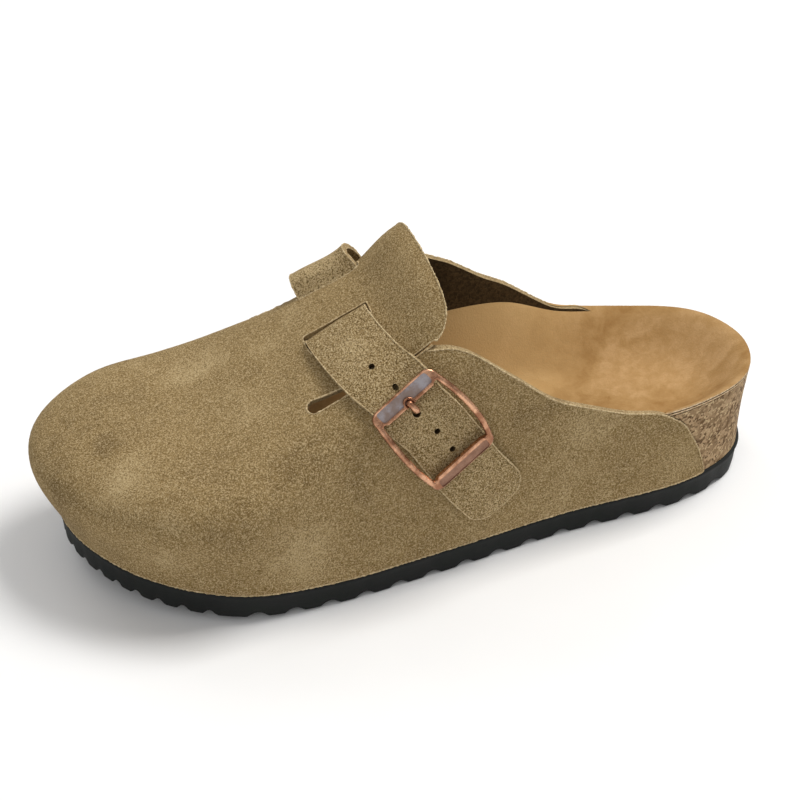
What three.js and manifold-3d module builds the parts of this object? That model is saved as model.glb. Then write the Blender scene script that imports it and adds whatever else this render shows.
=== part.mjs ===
// A suede clog for the left foot: closed toe, open heel, one buckled strap over the instep.
// Millimetres. +X points to the heel, -Y to the outer side of the foot and +Z up.
// The clog stands on z = 0, and the origin is on the flat underside of the outsole, half way along.
import * as THREE from 'three';
import { mergeVertices } from 'three/addons/utils/BufferGeometryUtils.js';
import Module from 'manifold-3d';

const wasm = await Module();
wasm.setup();
const { clamp, lerp, smoothstep } = THREE.MathUtils;

// Driving sizes of the last
const LENGTH = 268;
const BALL_WIDTH = 96;
const HEEL_WIDTH = 69;
const INSTEP_HEIGHT = 100;
const HEEL_RIM_HEIGHT = 34;
const TOE_SPRING = 9.4;

// Driving sizes of the sole
const OUTSOLE_HEIGHT = 10.7;
const OUTSOLE_TAPER = 1.2;
const HEEL_LEDGE = 0.5;
const LUG_PITCH = 13.4;
const LUG_NOTCH = 7.6;
const LUG_DEPTH = 1.9;
const TOE_LUG_PITCH = 8.8;
const TOE_LUG_NOTCH = 4.6;
const TOE_LUG_LENGTH = 16;
const INSOLE_THICKNESS = 1.6;
const CORK_INSET = 0.6;

// Driving sizes of the suede and of the fit between pieces
const WALL = 2.2;
const GAP = 0.3;
const SLIT_WIDTH = 1.1;
const KEYHOLE_WIDTH = 6.4;
const TONGUE_CORNER = 9;

// Driving sizes of the strap
const STRAP_WIDTH = 25;
const STRAP_THICKNESS = 2.2;
const STRAP_CORNER = 8;
const STRAP_LOOP = 5.5;
const STRAP_DIP = 7;
const STRAP_GAP = 0.7;
const SLOT_GAP = 0.7;
const SLOT_SKIM = 0.1;
const HOLE_DIAMETER = 2.2;
const HOLE_PITCH = 10.3;
const HOLE_TO_BUCKLE = 6.6;

// Driving sizes of the buckle
const BUCKLE_LENGTH = 37.2;
const BUCKLE_WIDTH = 28;
const BUCKLE_BOW = 1.9;
const BUCKLE_BAR = 5.4;
const BUCKLE_BAR_THICKNESS = 2;
const BUCKLE_ROD = 2.3;
const BUCKLE_CORNER = 2.6;
const PRONG_DIAMETER = 2.4;
const PRONG_NOTCH = 0.9;
const BUCKLE_LIFT = 2.1;

// Shares of the length where the spine of the last starts and ends
const HEEL_POLE = 0.14;
const TOE_POLE = 0.8;
const SPRING_START = 0.6;

// Fineness of the facets
const FINE = { stations: 22, toe: 16, heel: 6 };
const COARSE = { stations: 14, toe: 10, heel: 10 };
const OUTLINE_STEPS = 12;
const DOME_ROWS = 12;
const CORE_SHARES = [0, 0.4, 0.62, 0.76, 0.86, 0.94, 1];
const BED_SHARES = [0, 0.4, 0.6, 0.74, 0.86, 0.97, 1.09, 1.3];
// Steps of the strap's rings, by the distance from a slot in shares of STRAP_DIP.
const STRAP_STEP = [
  { within: 0.9, step: 1.5 },
  { within: 3, step: 3.2 },
  { within: Infinity, step: 5 },
];
// Steps of the strap's first rings, as shares of STRAP_CORNER.
const STRAP_ENDS = [0, 0.044, 0.162, 0.362, 0.625];
const HOLE_SIDES = 12;
const BUCKLE_STEPS = 40;
const BAR_SQUARENESS = 0.92;
// How far to either side a direction along the route is measured, and how far cutters stand proud.
const ROUTE_STEP = 1;
const CUTTER_PROUD = 1;

// The feather edge, where the suede meets the outsole.
// at: share of LENGTH from the heel. across: share of the width named in of, inner side positive.
const OUTLINE = [
  { at: 0.000, across: 0.000, of: HEEL_WIDTH },
  { at: 0.029, across: -0.300, of: HEEL_WIDTH },
  { at: 0.120, across: -0.492, of: HEEL_WIDTH },
  { at: 0.330, across: -0.392, of: BALL_WIDTH },
  { at: 0.520, across: -0.453, of: BALL_WIDTH },
  { at: 0.680, across: -0.492, of: BALL_WIDTH },
  { at: 0.800, across: -0.467, of: BALL_WIDTH },
  { at: 0.905, across: -0.300, of: BALL_WIDTH },
  { at: 0.966, across: -0.060, of: BALL_WIDTH },
  { at: 0.983, across: 0.170, of: BALL_WIDTH },
  { at: 0.962, across: 0.340, of: BALL_WIDTH },
  { at: 0.890, across: 0.470, of: BALL_WIDTH },
  { at: 0.740, across: 0.502, of: BALL_WIDTH },
  { at: 0.600, across: 0.434, of: BALL_WIDTH },
  { at: 0.450, across: 0.342, of: BALL_WIDTH },
  { at: 0.300, across: 0.325, of: BALL_WIDTH },
  { at: 0.120, across: 0.492, of: HEEL_WIDTH },
  { at: 0.029, across: 0.300, of: HEEL_WIDTH },
];

// Cross sections of the last.
// at: share of LENGTH from the heel. ridge: height of the spine above the outsole, share of
// INSTEP_HEIGHT. shift: spine towards the inner side, share of BALL_WIDTH. swell: how far the
// wall bulges past the feather edge. shoulder: how square the top is. Out and In are the outer
// and the inner side of the foot.
const SECTIONS = [
  { at: 0.00, ridge: 1.01, shift: 0.000, swellOut: 1.32, swellIn: 1.32, shoulderOut: 0.09, shoulderIn: 0.09 },
  { at: 0.14, ridge: 1.04, shift: 0.000, swellOut: 1.24, swellIn: 1.24, shoulderOut: 0.08, shoulderIn: 0.08 },
  { at: 0.30, ridge: 1.07, shift: 0.085, swellOut: 1.06, swellIn: 1.10, shoulderOut: 0.08, shoulderIn: 0.05 },
  { at: 0.42, ridge: 1.07, shift: 0.128, swellOut: 0.84, swellIn: 0.88, shoulderOut: 0.08, shoulderIn: 0.07 },
  { at: 0.50, ridge: 1.00, shift: 0.132, swellOut: 0.72, swellIn: 0.76, shoulderOut: 0.09, shoulderIn: 0.08 },
  { at: 0.55, ridge: 0.85, shift: 0.130, swellOut: 0.72, swellIn: 0.79, shoulderOut: 0.10, shoulderIn: 0.12 },
  { at: 0.60, ridge: 0.77, shift: 0.127, swellOut: 0.72, swellIn: 0.83, shoulderOut: 0.11, shoulderIn: 0.16 },
  { at: 0.70, ridge: 0.62, shift: 0.123, swellOut: 0.76, swellIn: 0.93, shoulderOut: 0.12, shoulderIn: 0.22 },
  { at: 0.80, ridge: 0.50, shift: 0.120, swellOut: 0.96, swellIn: 1.08, shoulderOut: 0.09, shoulderIn: 0.29 },
  { at: 0.90, ridge: 0.45, shift: 0.120, swellOut: 0.90, swellIn: 0.93, shoulderOut: 0.12, shoulderIn: 0.36 },
  { at: 1.00, ridge: 0.38, shift: 0.120, swellOut: 0.82, swellIn: 0.78, shoulderOut: 0.00, shoulderIn: 0.06 },
];

// How high up the wall bulges: with 2 half way up, and with less from low down.
const SWELL_POWER = [
  { at: 0.00, power: 2.0 },
  { at: 0.80, power: 2.0 },
  { at: 0.90, power: 1.35 },
  { at: 1.00, power: 1.20 },
];

// The footbed, as heights above the outsole in shares of HEEL_RIM_HEIGHT.
const FOOTBED = [
  { at: 0.00, floor: 0.56, rimOut: 0.98, rimIn: 0.98 },
  { at: 0.14, floor: 0.50, rimOut: 1.01, rimIn: 1.01 },
  { at: 0.22, floor: 0.52, rimOut: 0.99, rimIn: 1.19 },
  { at: 0.32, floor: 0.55, rimOut: 0.88, rimIn: 1.58 },
  { at: 0.42, floor: 0.50, rimOut: 0.70, rimIn: 1.73 },
  { at: 0.52, floor: 0.40, rimOut: 0.52, rimIn: 1.64 },
  { at: 0.64, floor: 0.30, rimOut: 0.42, rimIn: 0.94 },
  { at: 0.80, floor: 0.26, rimOut: 0.36, rimIn: 0.46 },
  { at: 1.00, floor: 0.24, rimOut: 0.34, rimIn: 0.34 },
];
const CUP_POWER = 5;
const CUP_REACH = 1.09;

// Side view of the opening, from the tongue's top corner down round the slit's mouth and back
// along the quarter to the rear edge. up: share of INSTEP_HEIGHT above the outsole.
const THROAT = [
  { at: 0.524, up: 0.804 },
  { at: 0.509, up: 0.814 },
  { at: 0.494, up: 0.818 },
  { at: 0.478, up: 0.808 },
  { at: 0.459, up: 0.780 },
  { at: 0.406, up: 0.667 },
  { at: 0.345, up: 0.527 },
  { at: 0.284, up: 0.448 },
  { at: 0.237, up: 0.398 },
  { at: 0.190, up: 0.364 },
  { at: 0.168, up: 0.327 },
  { at: 0.146, up: 0.275 },
  { at: 0.134, up: 0.220 },
  { at: 0.117, up: 0.132 },
  { at: 0.104, up: 0.035 },
  { at: 0.098, up: -0.060 },
];
const TONGUE_END = 0.486;
const THROAT_STEPS = 44;
const THROAT_STRIPS = 8;
// How much the opening's edge climbs towards the inner side of the foot, over one BALL_WIDTH.
// climb: share of INSTEP_HEIGHT. It is level where across, a share of BALL_WIDTH, is THROAT_LEVEL.
const THROAT_CLIMB = [
  { at: 0.10, climb: 0.050 },
  { at: 0.24, climb: 0.052 },
  { at: 0.285, climb: 0.112 },
  { at: 0.32, climb: 0.152 },
  { at: 0.36, climb: 0.148 },
  { at: 0.40, climb: 0.118 },
  { at: 0.46, climb: 0.046 },
  { at: 0.50, climb: 0.034 },
  { at: 0.55, climb: 0.034 },
];
const THROAT_LEVEL = -0.4;
// Where the curve of the tongue's rear corner starts above its bend, and how far the bend lies
// above the line of the slit's mouth, shares of TONGUE_CORNER.
const CORNER_START = 0.9;
const CORNER_BEND = 0.52;
const CORNER_STEPS = 8;

// The slits between tongue and quarters, from their mouth to the end of the keyhole.
// outer, inner: share of the way over the last from the spine to the feather edge.
const SLIT = [
  { at: 0.509, outer: 0.370, inner: 0.325 },
  { at: 0.555, outer: 0.327, inner: 0.360 },
  { at: 0.620, outer: 0.286, inner: 0.380 },
  { at: 0.678, outer: 0.256, inner: 0.365 },
];

// Route of the strap from its sewn inner end to its tip.
// side: share of the way from the spine to the feather edge, outer side negative.
const STRAP_ROUTE = [
  { at: 0.510, side: 0.920 },
  { at: 0.528, side: 0.740 },
  { at: 0.542, side: 0.580 },
  { at: 0.557, side: 0.430 },
  { at: 0.571, side: 0.300 },
  { at: 0.583, side: 0.180 },
  { at: 0.594, side: 0.050 },
  { at: 0.603, side: -0.070 },
  { at: 0.598, side: -0.180 },
  { at: 0.584, side: -0.300 },
  { at: 0.567, side: -0.390 },
  { at: 0.553, side: -0.490 },
  { at: 0.528, side: -0.610 },
  { at: 0.505, side: -0.710 },
  { at: 0.474, side: -0.810 },
  { at: 0.426, side: -0.915 },
];
const SLOT_SIDE_INNER = 0.18;
const SLOT_SIDE_OUTER = -0.07;
const PRONG_SIDE = -0.512;

// Rise and fall of the strap's middle: on the suede, looped up over the inner slot, through it,
// under the vamp and out through the outer slot.
// dips: distance past the slot, share of STRAP_DIP. up: 1 on the suede and -1 under it. loop:
// share of STRAP_LOOP.
const STRAP_RISE = [
  { slot: 'inner', dips: -5.20, up: 1.00, loop: 0.00 },
  { slot: 'inner', dips: -3.60, up: 1.00, loop: 0.22 },
  { slot: 'inner', dips: -2.20, up: 1.00, loop: 0.84 },
  { slot: 'inner', dips: -1.20, up: 1.00, loop: 1.00 },
  { slot: 'inner', dips: -0.45, up: 1.00, loop: 0.72 },
  { slot: 'inner', dips: -0.10, up: -0.10, loop: 0.00 },
  { slot: 'inner', dips: 0.25, up: -0.80, loop: 0.00 },
  { slot: 'inner', dips: 0.90, up: -1.00, loop: 0.00 },
  { slot: 'outer', dips: -0.80, up: -1.00, loop: 0.00 },
  { slot: 'outer', dips: -0.30, up: -0.85, loop: 0.00 },
  { slot: 'outer', dips: 0.00, up: -0.24, loop: 0.00 },
  { slot: 'outer', dips: 0.35, up: 0.75, loop: 0.00 },
  { slot: 'outer', dips: 0.90, up: 1.00, loop: 0.00 },
  { slot: 'outer', dips: 3.00, up: 1.00, loop: 0.00 },
];

const COLOURS = {
  suede: 0x96825f,
  strap: 0x96825f,
  footbed: 0xac8654,
  cork: 0xa58764,
  outsole: 0x1b1e1d,
  copper: 0xa8674f,
};

const halfSpan = BALL_WIDTH;

function xAt(share) {
  return (0.5 - share) * LENGTH;
}

function shareAt(x) {
  return 0.5 - x / LENGTH;
}

// A smooth value between the rows of a table, with straight ends.
function tableValue(rows, column, at) {
  const last = rows.length - 1;
  let i = 0;
  while (i < last - 1 && at > rows[i + 1].at) {
    i += 1;
  }
  const slope = (k) => (rows[k + 1][column] - rows[k][column]) / (rows[k + 1].at - rows[k].at);
  const tangent = (k) => {
    if (k === 0) {
      return slope(0);
    }
    if (k === last) {
      return slope(last - 1);
    }
    const before = rows[k].at - rows[k - 1].at;
    const after = rows[k + 1].at - rows[k].at;
    return (slope(k) * before + slope(k - 1) * after) / (before + after);
  };
  const span = rows[i + 1].at - rows[i].at;
  const t = (at - rows[i].at) / span;
  if (t < 0) {
    return rows[i][column] + t * span * tangent(i);
  }
  if (t > 1) {
    return rows[i + 1][column] + (t - 1) * span * tangent(i + 1);
  }
  const start = (2 * t - 3) * t * t + 1;
  const end = (3 - 2 * t) * t * t;
  const leave = ((t - 2) * t + 1) * t * span;
  const arrive = (t - 1) * t * t * span;
  return start * rows[i][column] + end * rows[i + 1][column] + leave * tangent(i) + arrive * tangent(i + 1);
}

// The feather edge as a closed plan curve, counterclockwise seen from above.
const outlineCurve = new THREE.CatmullRomCurve3(
  OUTLINE.map((row) => new THREE.Vector3(xAt(row.at), row.across * row.of, 0)),
  true,
  'centripetal',
);
const outlinePoints = Array.from({ length: OUTLINE.length * OUTLINE_STEPS }, (_, i) =>
  outlineCurve.getPoint(i / (OUTLINE.length * OUTLINE_STEPS)),
);

// Distance from a plan point to the feather edge along a direction.
function reachToOutline(cx, cy, ux, uy) {
  let nearest = Infinity;
  outlinePoints.forEach((a, i) => {
    const b = outlinePoints[(i + 1) % outlinePoints.length];
    const ex = b.x - a.x;
    const ey = b.y - a.y;
    const turn = ux * ey - uy * ex;
    if (Math.abs(turn) < 1e-9) {
      return;
    }
    const wx = a.x - cx;
    const wy = a.y - cy;
    const reach = (wx * ey - wy * ex) / turn;
    const along = (wx * uy - wy * ux) / turn;
    if (reach > 0 && along >= -1e-6 && along <= 1 + 1e-6 && reach < nearest) {
      nearest = reach;
    }
  });
  return nearest;
}

// A ray from the spine to the feather edge. The whole clog is drawn along such rays.
function makeRay(cx, ux, uy) {
  const cy = tableValue(SECTIONS, 'shift', shareAt(cx)) * BALL_WIDTH;
  return { cx, cy, ux, uy, reach: reachToOutline(cx, cy, ux, uy) };
}

// Rays all round the last, counterclockwise from the inner side of the heel.
function makeRays({ stations, toe, heel }) {
  const rays = [];
  const fan = (share, from, count) => {
    for (let i = 1; i < count; i += 1) {
      const angle = from + (Math.PI * i) / count;
      rays.push(makeRay(xAt(share), Math.cos(angle), Math.sin(angle)));
    }
  };
  const station = (i) => xAt(HEEL_POLE + ((TOE_POLE - HEEL_POLE) * i) / stations);
  for (let i = 0; i <= stations; i += 1) {
    rays.push(makeRay(station(i), 0, 1));
  }
  fan(TOE_POLE, Math.PI / 2, toe);
  for (let i = stations; i >= 0; i -= 1) {
    rays.push(makeRay(station(i), 0, -1));
  }
  fan(HEEL_POLE, -Math.PI / 2, heel);
  return rays;
}

function soleSpring(x) {
  const past = Math.max(0, (shareAt(x) - SPRING_START) / (1 - SPRING_START));
  return TOE_SPRING * past * past;
}

function soleTop(x) {
  return soleSpring(x) + OUTSOLE_HEIGHT;
}

// Outer surface of the suede. share runs from 0 on the spine to 1 at the feather edge.
function lastPoint(ray, share) {
  const turn = (Math.PI / 2) * share;
  const inner = 0.5 + 0.5 * ray.uy;
  const at = shareAt(ray.cx + 0.7 * ray.ux * ray.reach);
  const mix = (name) =>
    lerp(tableValue(SECTIONS, `${name}Out`, at), tableValue(SECTIONS, `${name}In`, at), inner);
  const swell = mix('swell') * Math.max(Math.cos(turn), 0) ** tableValue(SWELL_POWER, 'power', at);
  const out = ray.reach * Math.sin(turn) * (1 + swell);
  const up = Math.cos(turn) * (1 + mix('shoulder') * Math.sin(turn) ** 2);
  const x = ray.cx + ray.ux * out;
  const y = ray.cy + ray.uy * out;
  const rise = tableValue(SECTIONS, 'ridge', shareAt(x)) * INSTEP_HEIGHT;
  return new THREE.Vector3(x, y, soleTop(x) + GAP + rise * up);
}

// The same surface from a plan point, where the point stands for its share of the nearest ray.
function lastPointAt(px, py) {
  const cx = clamp(px, xAt(TOE_POLE), xAt(HEEL_POLE));
  const cy = tableValue(SECTIONS, 'shift', shareAt(cx)) * BALL_WIDTH;
  const distance = Math.max(Math.hypot(px - cx, py - cy), 1e-9);
  const ray = makeRay(cx, (px - cx) / distance, (py - cy) / distance);
  return lastPoint(ray, distance / ray.reach);
}

// Bodies drawn as rings round the spine
function weld(geometry) {
  geometry.deleteAttribute('normal');
  geometry.deleteAttribute('uv');
  const merged = mergeVertices(geometry, 1e-4);
  const index = merged.index.array;
  const kept = [];
  for (let i = 0; i < index.length; i += 3) {
    const [a, b, c] = [index[i], index[i + 1], index[i + 2]];
    if (a !== b && b !== c && c !== a) {
      kept.push(a, b, c);
    }
  }
  merged.setIndex(kept);
  return merged;
}

function ringGeometry(rings, wrapRings = false) {
  const count = rings[0].length;
  const geometry = new THREE.BufferGeometry();
  geometry.setFromPoints(rings.flat());
  const index = [];
  const bands = wrapRings ? rings.length : rings.length - 1;
  for (let k = 0; k < bands; k += 1) {
    for (let j = 0; j < count; j += 1) {
      const next = (j + 1) % count;
      const row = k * count;
      const nextRow = ((k + 1) % rings.length) * count;
      index.push(row + j, nextRow + j, nextRow + next);
      index.push(row + j, nextRow + next, row + next);
    }
  }
  geometry.setIndex(index);
  return geometry;
}

function toSolid(geometry) {
  const welded = weld(geometry);
  return new wasm.Manifold(
    new wasm.Mesh({
      numProp: 3,
      vertProperties: new Float32Array(welded.attributes.position.array),
      triVerts: new Uint32Array(welded.index.array),
    }),
  );
}

function toGeometry(solid) {
  const mesh = solid.getMesh();
  const geometry = new THREE.BufferGeometry();
  geometry.setAttribute('position', new THREE.BufferAttribute(new Float32Array(mesh.vertProperties), 3));
  geometry.setIndex(new THREE.BufferAttribute(new Uint32Array(mesh.triVerts), 1));
  return geometry;
}

// Rings of the last's surface, moved inwards along its normals by a depth.
function lastRings(rays, shares, depth) {
  const rings = shares.map((share) => rays.map((ray) => lastPoint(ray, share)));
  const surface = weld(ringGeometry(rings));
  surface.computeVertexNormals();
  const lookup = new Map();
  const key = (x, y, z) => [x, y, z].map((v) => Math.round(v * 1000)).join(' ');
  const position = surface.attributes.position;
  for (let i = 0; i < position.count; i += 1) {
    lookup.set(key(position.getX(i), position.getY(i), position.getZ(i)), i);
  }
  return rings.map((ring, k) =>
    ring.map((point) => {
      const i = lookup.get(key(Math.fround(point.x), Math.fround(point.y), Math.fround(point.z)));
      const normal = new THREE.Vector3().fromBufferAttribute(surface.attributes.normal, i);
      if (k === rings.length - 1) {
        normal.z = 0;
        normal.normalize();
      }
      return point.clone().addScaledVector(normal, -depth);
    }),
  );
}

function steps(count, easing = (t) => t) {
  return Array.from({ length: count + 1 }, (_, i) => easing(i / count));
}

// A thick shell of the last between two depths, open underneath.
function lastShell(rays, shares, outerDepth, innerDepth, hem = 0) {
  const outer = lastRings(rays, shares, outerDepth);
  const inner = lastRings(rays, shares, innerDepth).reverse();
  if (hem > 0) {
    const lower = (point) => point.clone().add(new THREE.Vector3(0, 0, -hem));
    outer.push(outer.at(-1).map(lower));
    inner.unshift(inner[0].map(lower));
  }
  return toSolid(ringGeometry([...outer, ...inner]));
}

// The filled last, cut off by the top of the outsole, at a depth under the suede's surface.
function lastCore(rays, shares, depth) {
  const rings = lastRings(rays, shares, depth);
  const edge = rings.at(-1);
  const floor = [1, 0.5, 0].map((share) =>
    edge.map((point, j) => {
      const spine = new THREE.Vector3(rays[j].cx, rays[j].cy, 0);
      const plan = spine.lerp(new THREE.Vector3(point.x, point.y, 0), share);
      return new THREE.Vector3(plan.x, plan.y, soleTop(plan.x) + GAP);
    }),
  );
  return toSolid(ringGeometry([...rings, ...floor.slice(1)]));
}

// A prism across the clog from a side view outline, in strips.
function sidePrism(points, fromY, toY, strips) {
  const shape = new THREE.Shape(points.map((p) => new THREE.Vector2(p.x, p.z)));
  const geometry = new THREE.ExtrudeGeometry(shape, { depth: toY - fromY, steps: strips, bevelEnabled: false });
  geometry.rotateX(Math.PI / 2);
  geometry.translate(0, toY, 0);
  return geometry;
}

function sidePoint(at, up) {
  const x = xAt(at);
  return { x, z: OUTSOLE_HEIGHT + up * INSTEP_HEIGHT };
}

// The opening's edge stands higher on the inner side of the foot than on the outer side.
function climbInner(geometry) {
  const position = geometry.attributes.position;
  for (let i = 0; i < position.count; i += 1) {
    const climb = tableValue(THROAT_CLIMB, 'climb', shareAt(position.getX(i))) * INSTEP_HEIGHT;
    const inwards = position.getY(i) / BALL_WIDTH - THROAT_LEVEL;
    position.setZ(i, position.getZ(i) + climb * inwards);
  }
  return geometry;
}

// Everything behind and above the tongue's end, the toplines and the rear edge.
function throatCutter(clearance = 0) {
  const curve = new THREE.CatmullRomCurve3(
    THROAT.map((row) => {
      const p = sidePoint(row.at, row.up);
      return new THREE.Vector3(p.x + clearance, 0, p.z + clearance);
    }),
    false,
    'centripetal',
  );
  const edge = curve.getPoints(THROAT_STEPS).map((p) => ({ x: p.x, z: p.z }));
  const top = 2 * INSTEP_HEIGHT;
  const tongue = xAt(TONGUE_END) + clearance;
  const [mouth, next] = edge;
  const slope = (next.z - mouth.z) / (next.x - mouth.x);
  const bend = mouth.z + slope * (tongue - mouth.x) + CORNER_BEND * TONGUE_CORNER;
  const corner = new THREE.QuadraticBezierCurve(
    new THREE.Vector2(tongue, bend + CORNER_START * TONGUE_CORNER),
    new THREE.Vector2(tongue, bend),
    new THREE.Vector2(mouth.x, mouth.z),
  );
  const round = corner.getPoints(CORNER_STEPS).slice(0, -1).map((p) => ({ x: p.x, z: p.y }));
  const outline = [
    { x: LENGTH, z: top },
    { x: tongue, z: top },
    ...round,
    ...edge,
    { x: edge.at(-1).x, z: -OUTSOLE_HEIGHT },
    { x: LENGTH, z: -OUTSOLE_HEIGHT },
  ];
  return toSolid(climbInner(sidePrism(outline, -halfSpan, halfSpan, THROAT_STRIPS)));
}

// Height, slope and outward direction of the suede at a share of a ray across the foot.
function wallFrame(x, side, share) {
  const e = 0.01;
  const point = lastPoint(makeRay(x, 0, side), share);
  const down = lastPoint(makeRay(x, 0, side), share + e).sub(point).normalize();
  const back = lastPoint(makeRay(x + 1, 0, side), share).sub(point).normalize();
  const outward = new THREE.Vector3().crossVectors(down, back).multiplyScalar(-side).normalize();
  return { point, down, outward };
}

// One slit through the suede, square to it, ending in a rounded keyhole.
function slitCutter(side) {
  const column = side < 0 ? 'outer' : 'inner';
  const [mouth, end] = [SLIT[0].at, SLIT.at(-1).at];
  const run = (end - mouth) * LENGTH;
  const radius = KEYHOLE_WIDTH / 2;
  const rings = steps(14, (t) => 1 - (1 - t) ** 2).map((t) => {
    const at = lerp(mouth, end, t);
    const toEnd = run * (1 - t);
    const round = Math.sqrt(Math.max(radius ** 2 - Math.max(radius - toEnd, 0) ** 2, 0.01));
    const half = Math.min(lerp(SLIT_WIDTH / 2, radius, t * t), round);
    const frame = wallFrame(xAt(at), side, tableValue(SLIT, column, at));
    const corner = (across, out) =>
      frame.point.clone().addScaledVector(frame.down, across * half).addScaledVector(frame.outward, out);
    return [corner(-1, WALL), corner(1, WALL), corner(1, -2 * WALL), corner(-1, -2 * WALL)];
  });
  return hullTube(side < 0 ? rings : rings.reverse());
}

// The strap's own frame: along its route, across it and up from the suede under it.
const routeCurve = new THREE.CatmullRomCurve3(
  STRAP_ROUTE.map((row) => {
    const ray = makeRay(xAt(row.at), 0, Math.sign(row.side));
    return new THREE.Vector3(ray.cx, ray.cy + row.side * ray.reach, row.side);
  }),
  false,
  'centripetal',
);
const routeSamples = routeCurve.getPoints(240).map((plan) => ({
  plan,
  side: plan.z,
  point: lastPointAt(plan.x, plan.y),
  along: 0,
}));
routeSamples.forEach((sample, i) => {
  if (i > 0) {
    sample.along = routeSamples[i - 1].along + sample.point.distanceTo(routeSamples[i - 1].point);
  }
});
const strapLength = routeSamples.at(-1).along;

function routePlan(along) {
  const next = routeSamples.findIndex((sample, k) => k > 0 && sample.along >= along);
  const i = next < 0 ? routeSamples.length - 1 : next;
  const a = routeSamples[i - 1];
  const b = routeSamples[i];
  const t = (along - a.along) / (b.along - a.along);
  return new THREE.Vector2(lerp(a.plan.x, b.plan.x, t), lerp(a.plan.y, b.plan.y, t));
}

// How far along the route the strap passes a given side.
function alongAtSide(side) {
  const i = routeSamples.findIndex((sample) => sample.side <= side);
  const a = routeSamples[i - 1];
  const b = routeSamples[i];
  return lerp(a.along, b.along, (side - a.side) / (b.side - a.side));
}

function surfaceFrame(plan) {
  const e = 0.4;
  const point = lastPointAt(plan.x, plan.y);
  const dx = lastPointAt(plan.x + e, plan.y).sub(lastPointAt(plan.x - e, plan.y)).divideScalar(2 * e);
  const dy = lastPointAt(plan.x, plan.y + e).sub(lastPointAt(plan.x, plan.y - e)).divideScalar(2 * e);
  const normal = new THREE.Vector3().crossVectors(dx, dy).normalize();
  return { point, dx, dy, normal };
}

// Steps over the surface from a plan point in a 3-D direction.
function stepOver(plan, direction, distance) {
  const frame = surfaceFrame(plan);
  const flat = direction.clone().addScaledVector(frame.normal, -direction.dot(frame.normal)).normalize();
  const xx = frame.dx.dot(frame.dx);
  const xy = frame.dx.dot(frame.dy);
  const yy = frame.dy.dot(frame.dy);
  const fx = flat.dot(frame.dx);
  const fy = flat.dot(frame.dy);
  const scale = distance / (xx * yy - xy * xy);
  return new THREE.Vector2(plan.x + (fx * yy - fy * xy) * scale, plan.y + (fy * xx - fx * xy) * scale);
}

// A point of the strap's frame, in the clog's frame.
function onStrap(along, across, up) {
  const inside = clamp(along, ROUTE_STEP, strapLength - ROUTE_STEP);
  const before = routePlan(inside - ROUTE_STEP);
  const after = routePlan(inside + ROUTE_STEP);
  const heading = lastPointAt(after.x, after.y).sub(lastPointAt(before.x, before.y)).normalize();
  let plan = routePlan(clamp(along, 0, strapLength));
  const start = surfaceFrame(plan);
  const sideways = new THREE.Vector3().crossVectors(start.normal, heading);
  const hops = 4;
  for (let i = 0; i < hops && across !== 0; i += 1) {
    plan = stepOver(plan, sideways, across / hops);
  }
  const end = surfaceFrame(plan);
  return end.point.addScaledVector(end.normal, up);
}

const alongSlotInner = alongAtSide(SLOT_SIDE_INNER);
const alongSlotOuter = alongAtSide(SLOT_SIDE_OUTER);
const alongProng = alongAtSide(PRONG_SIDE);
const strapOutside = STRAP_GAP + STRAP_THICKNESS / 2;
const strapInside = -(WALL + 2 * STRAP_GAP + STRAP_THICKNESS / 2);
const strapTop = STRAP_GAP + STRAP_THICKNESS;

// The strap's middle line, as distance along its route and height above the suede.
function strapMiddle({ slot, dips, up, loop }) {
  const along = (slot === 'inner' ? alongSlotInner : alongSlotOuter) + dips * STRAP_DIP;
  const level = up * (up > 0 ? strapOutside : -strapInside);
  return new THREE.Vector3(along, level + loop * STRAP_LOOP, 0);
}

const strapProfile = new THREE.CatmullRomCurve3(
  [
    new THREE.Vector3(0, strapOutside, 0),
    ...STRAP_RISE.map(strapMiddle),
    new THREE.Vector3(strapLength, strapOutside, 0),
  ],
  false,
  'centripetal',
);

// Half width of the strap, with rounded corners at both ends.
function strapHalfWidth(along) {
  const toEnd = Math.max(Math.min(along, strapLength - along), 0);
  const into = Math.max(STRAP_CORNER - toEnd, 0);
  return STRAP_WIDTH / 2 - STRAP_CORNER + Math.sqrt(Math.max(STRAP_CORNER ** 2 - into ** 2, 0));
}

// A flat band through stops along the strap's profile.
function band(stops, thickness, halfWidth) {
  const lanes = [-1, -0.5, 0, 0.5, 1];
  const span = strapProfile.getLength();
  const rings = stops.map((stop) => {
    const spot = strapProfile.getPointAt(stop / span);
    const heading = strapProfile.getTangentAt(stop / span);
    const half = halfWidth(spot.x);
    const place = (lane, sign) => {
      const rise = (sign * thickness) / 2;
      return onStrap(spot.x - heading.y * rise, lane * half, spot.y + heading.x * rise);
    };
    return [...lanes.map((lane) => place(lane, 1)), ...lanes.toReversed().map((lane) => place(lane, -1))];
  });
  return solidTube(rings);
}

// Places of the strap's rings along its profile, closer together where it bends.
function strapStops() {
  const ends = STRAP_ENDS.map((share) => share * STRAP_CORNER);
  const span = strapProfile.getLength();
  const stops = [...ends];
  for (let stop = STRAP_CORNER; stop < span - STRAP_CORNER; ) {
    stops.push(stop);
    const { x } = strapProfile.getPointAt(stop / span);
    const fromSlot = Math.min(Math.abs(x - alongSlotInner), Math.abs(x - alongSlotOuter)) / STRAP_DIP;
    stop += STRAP_STEP.find((row) => fromSlot < row.within).step;
  }
  return [...stops, span - STRAP_CORNER, ...ends.map((d) => span - d).reverse()];
}

function strapBand() {
  return band(strapStops(), STRAP_THICKNESS, strapHalfWidth);
}

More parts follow.
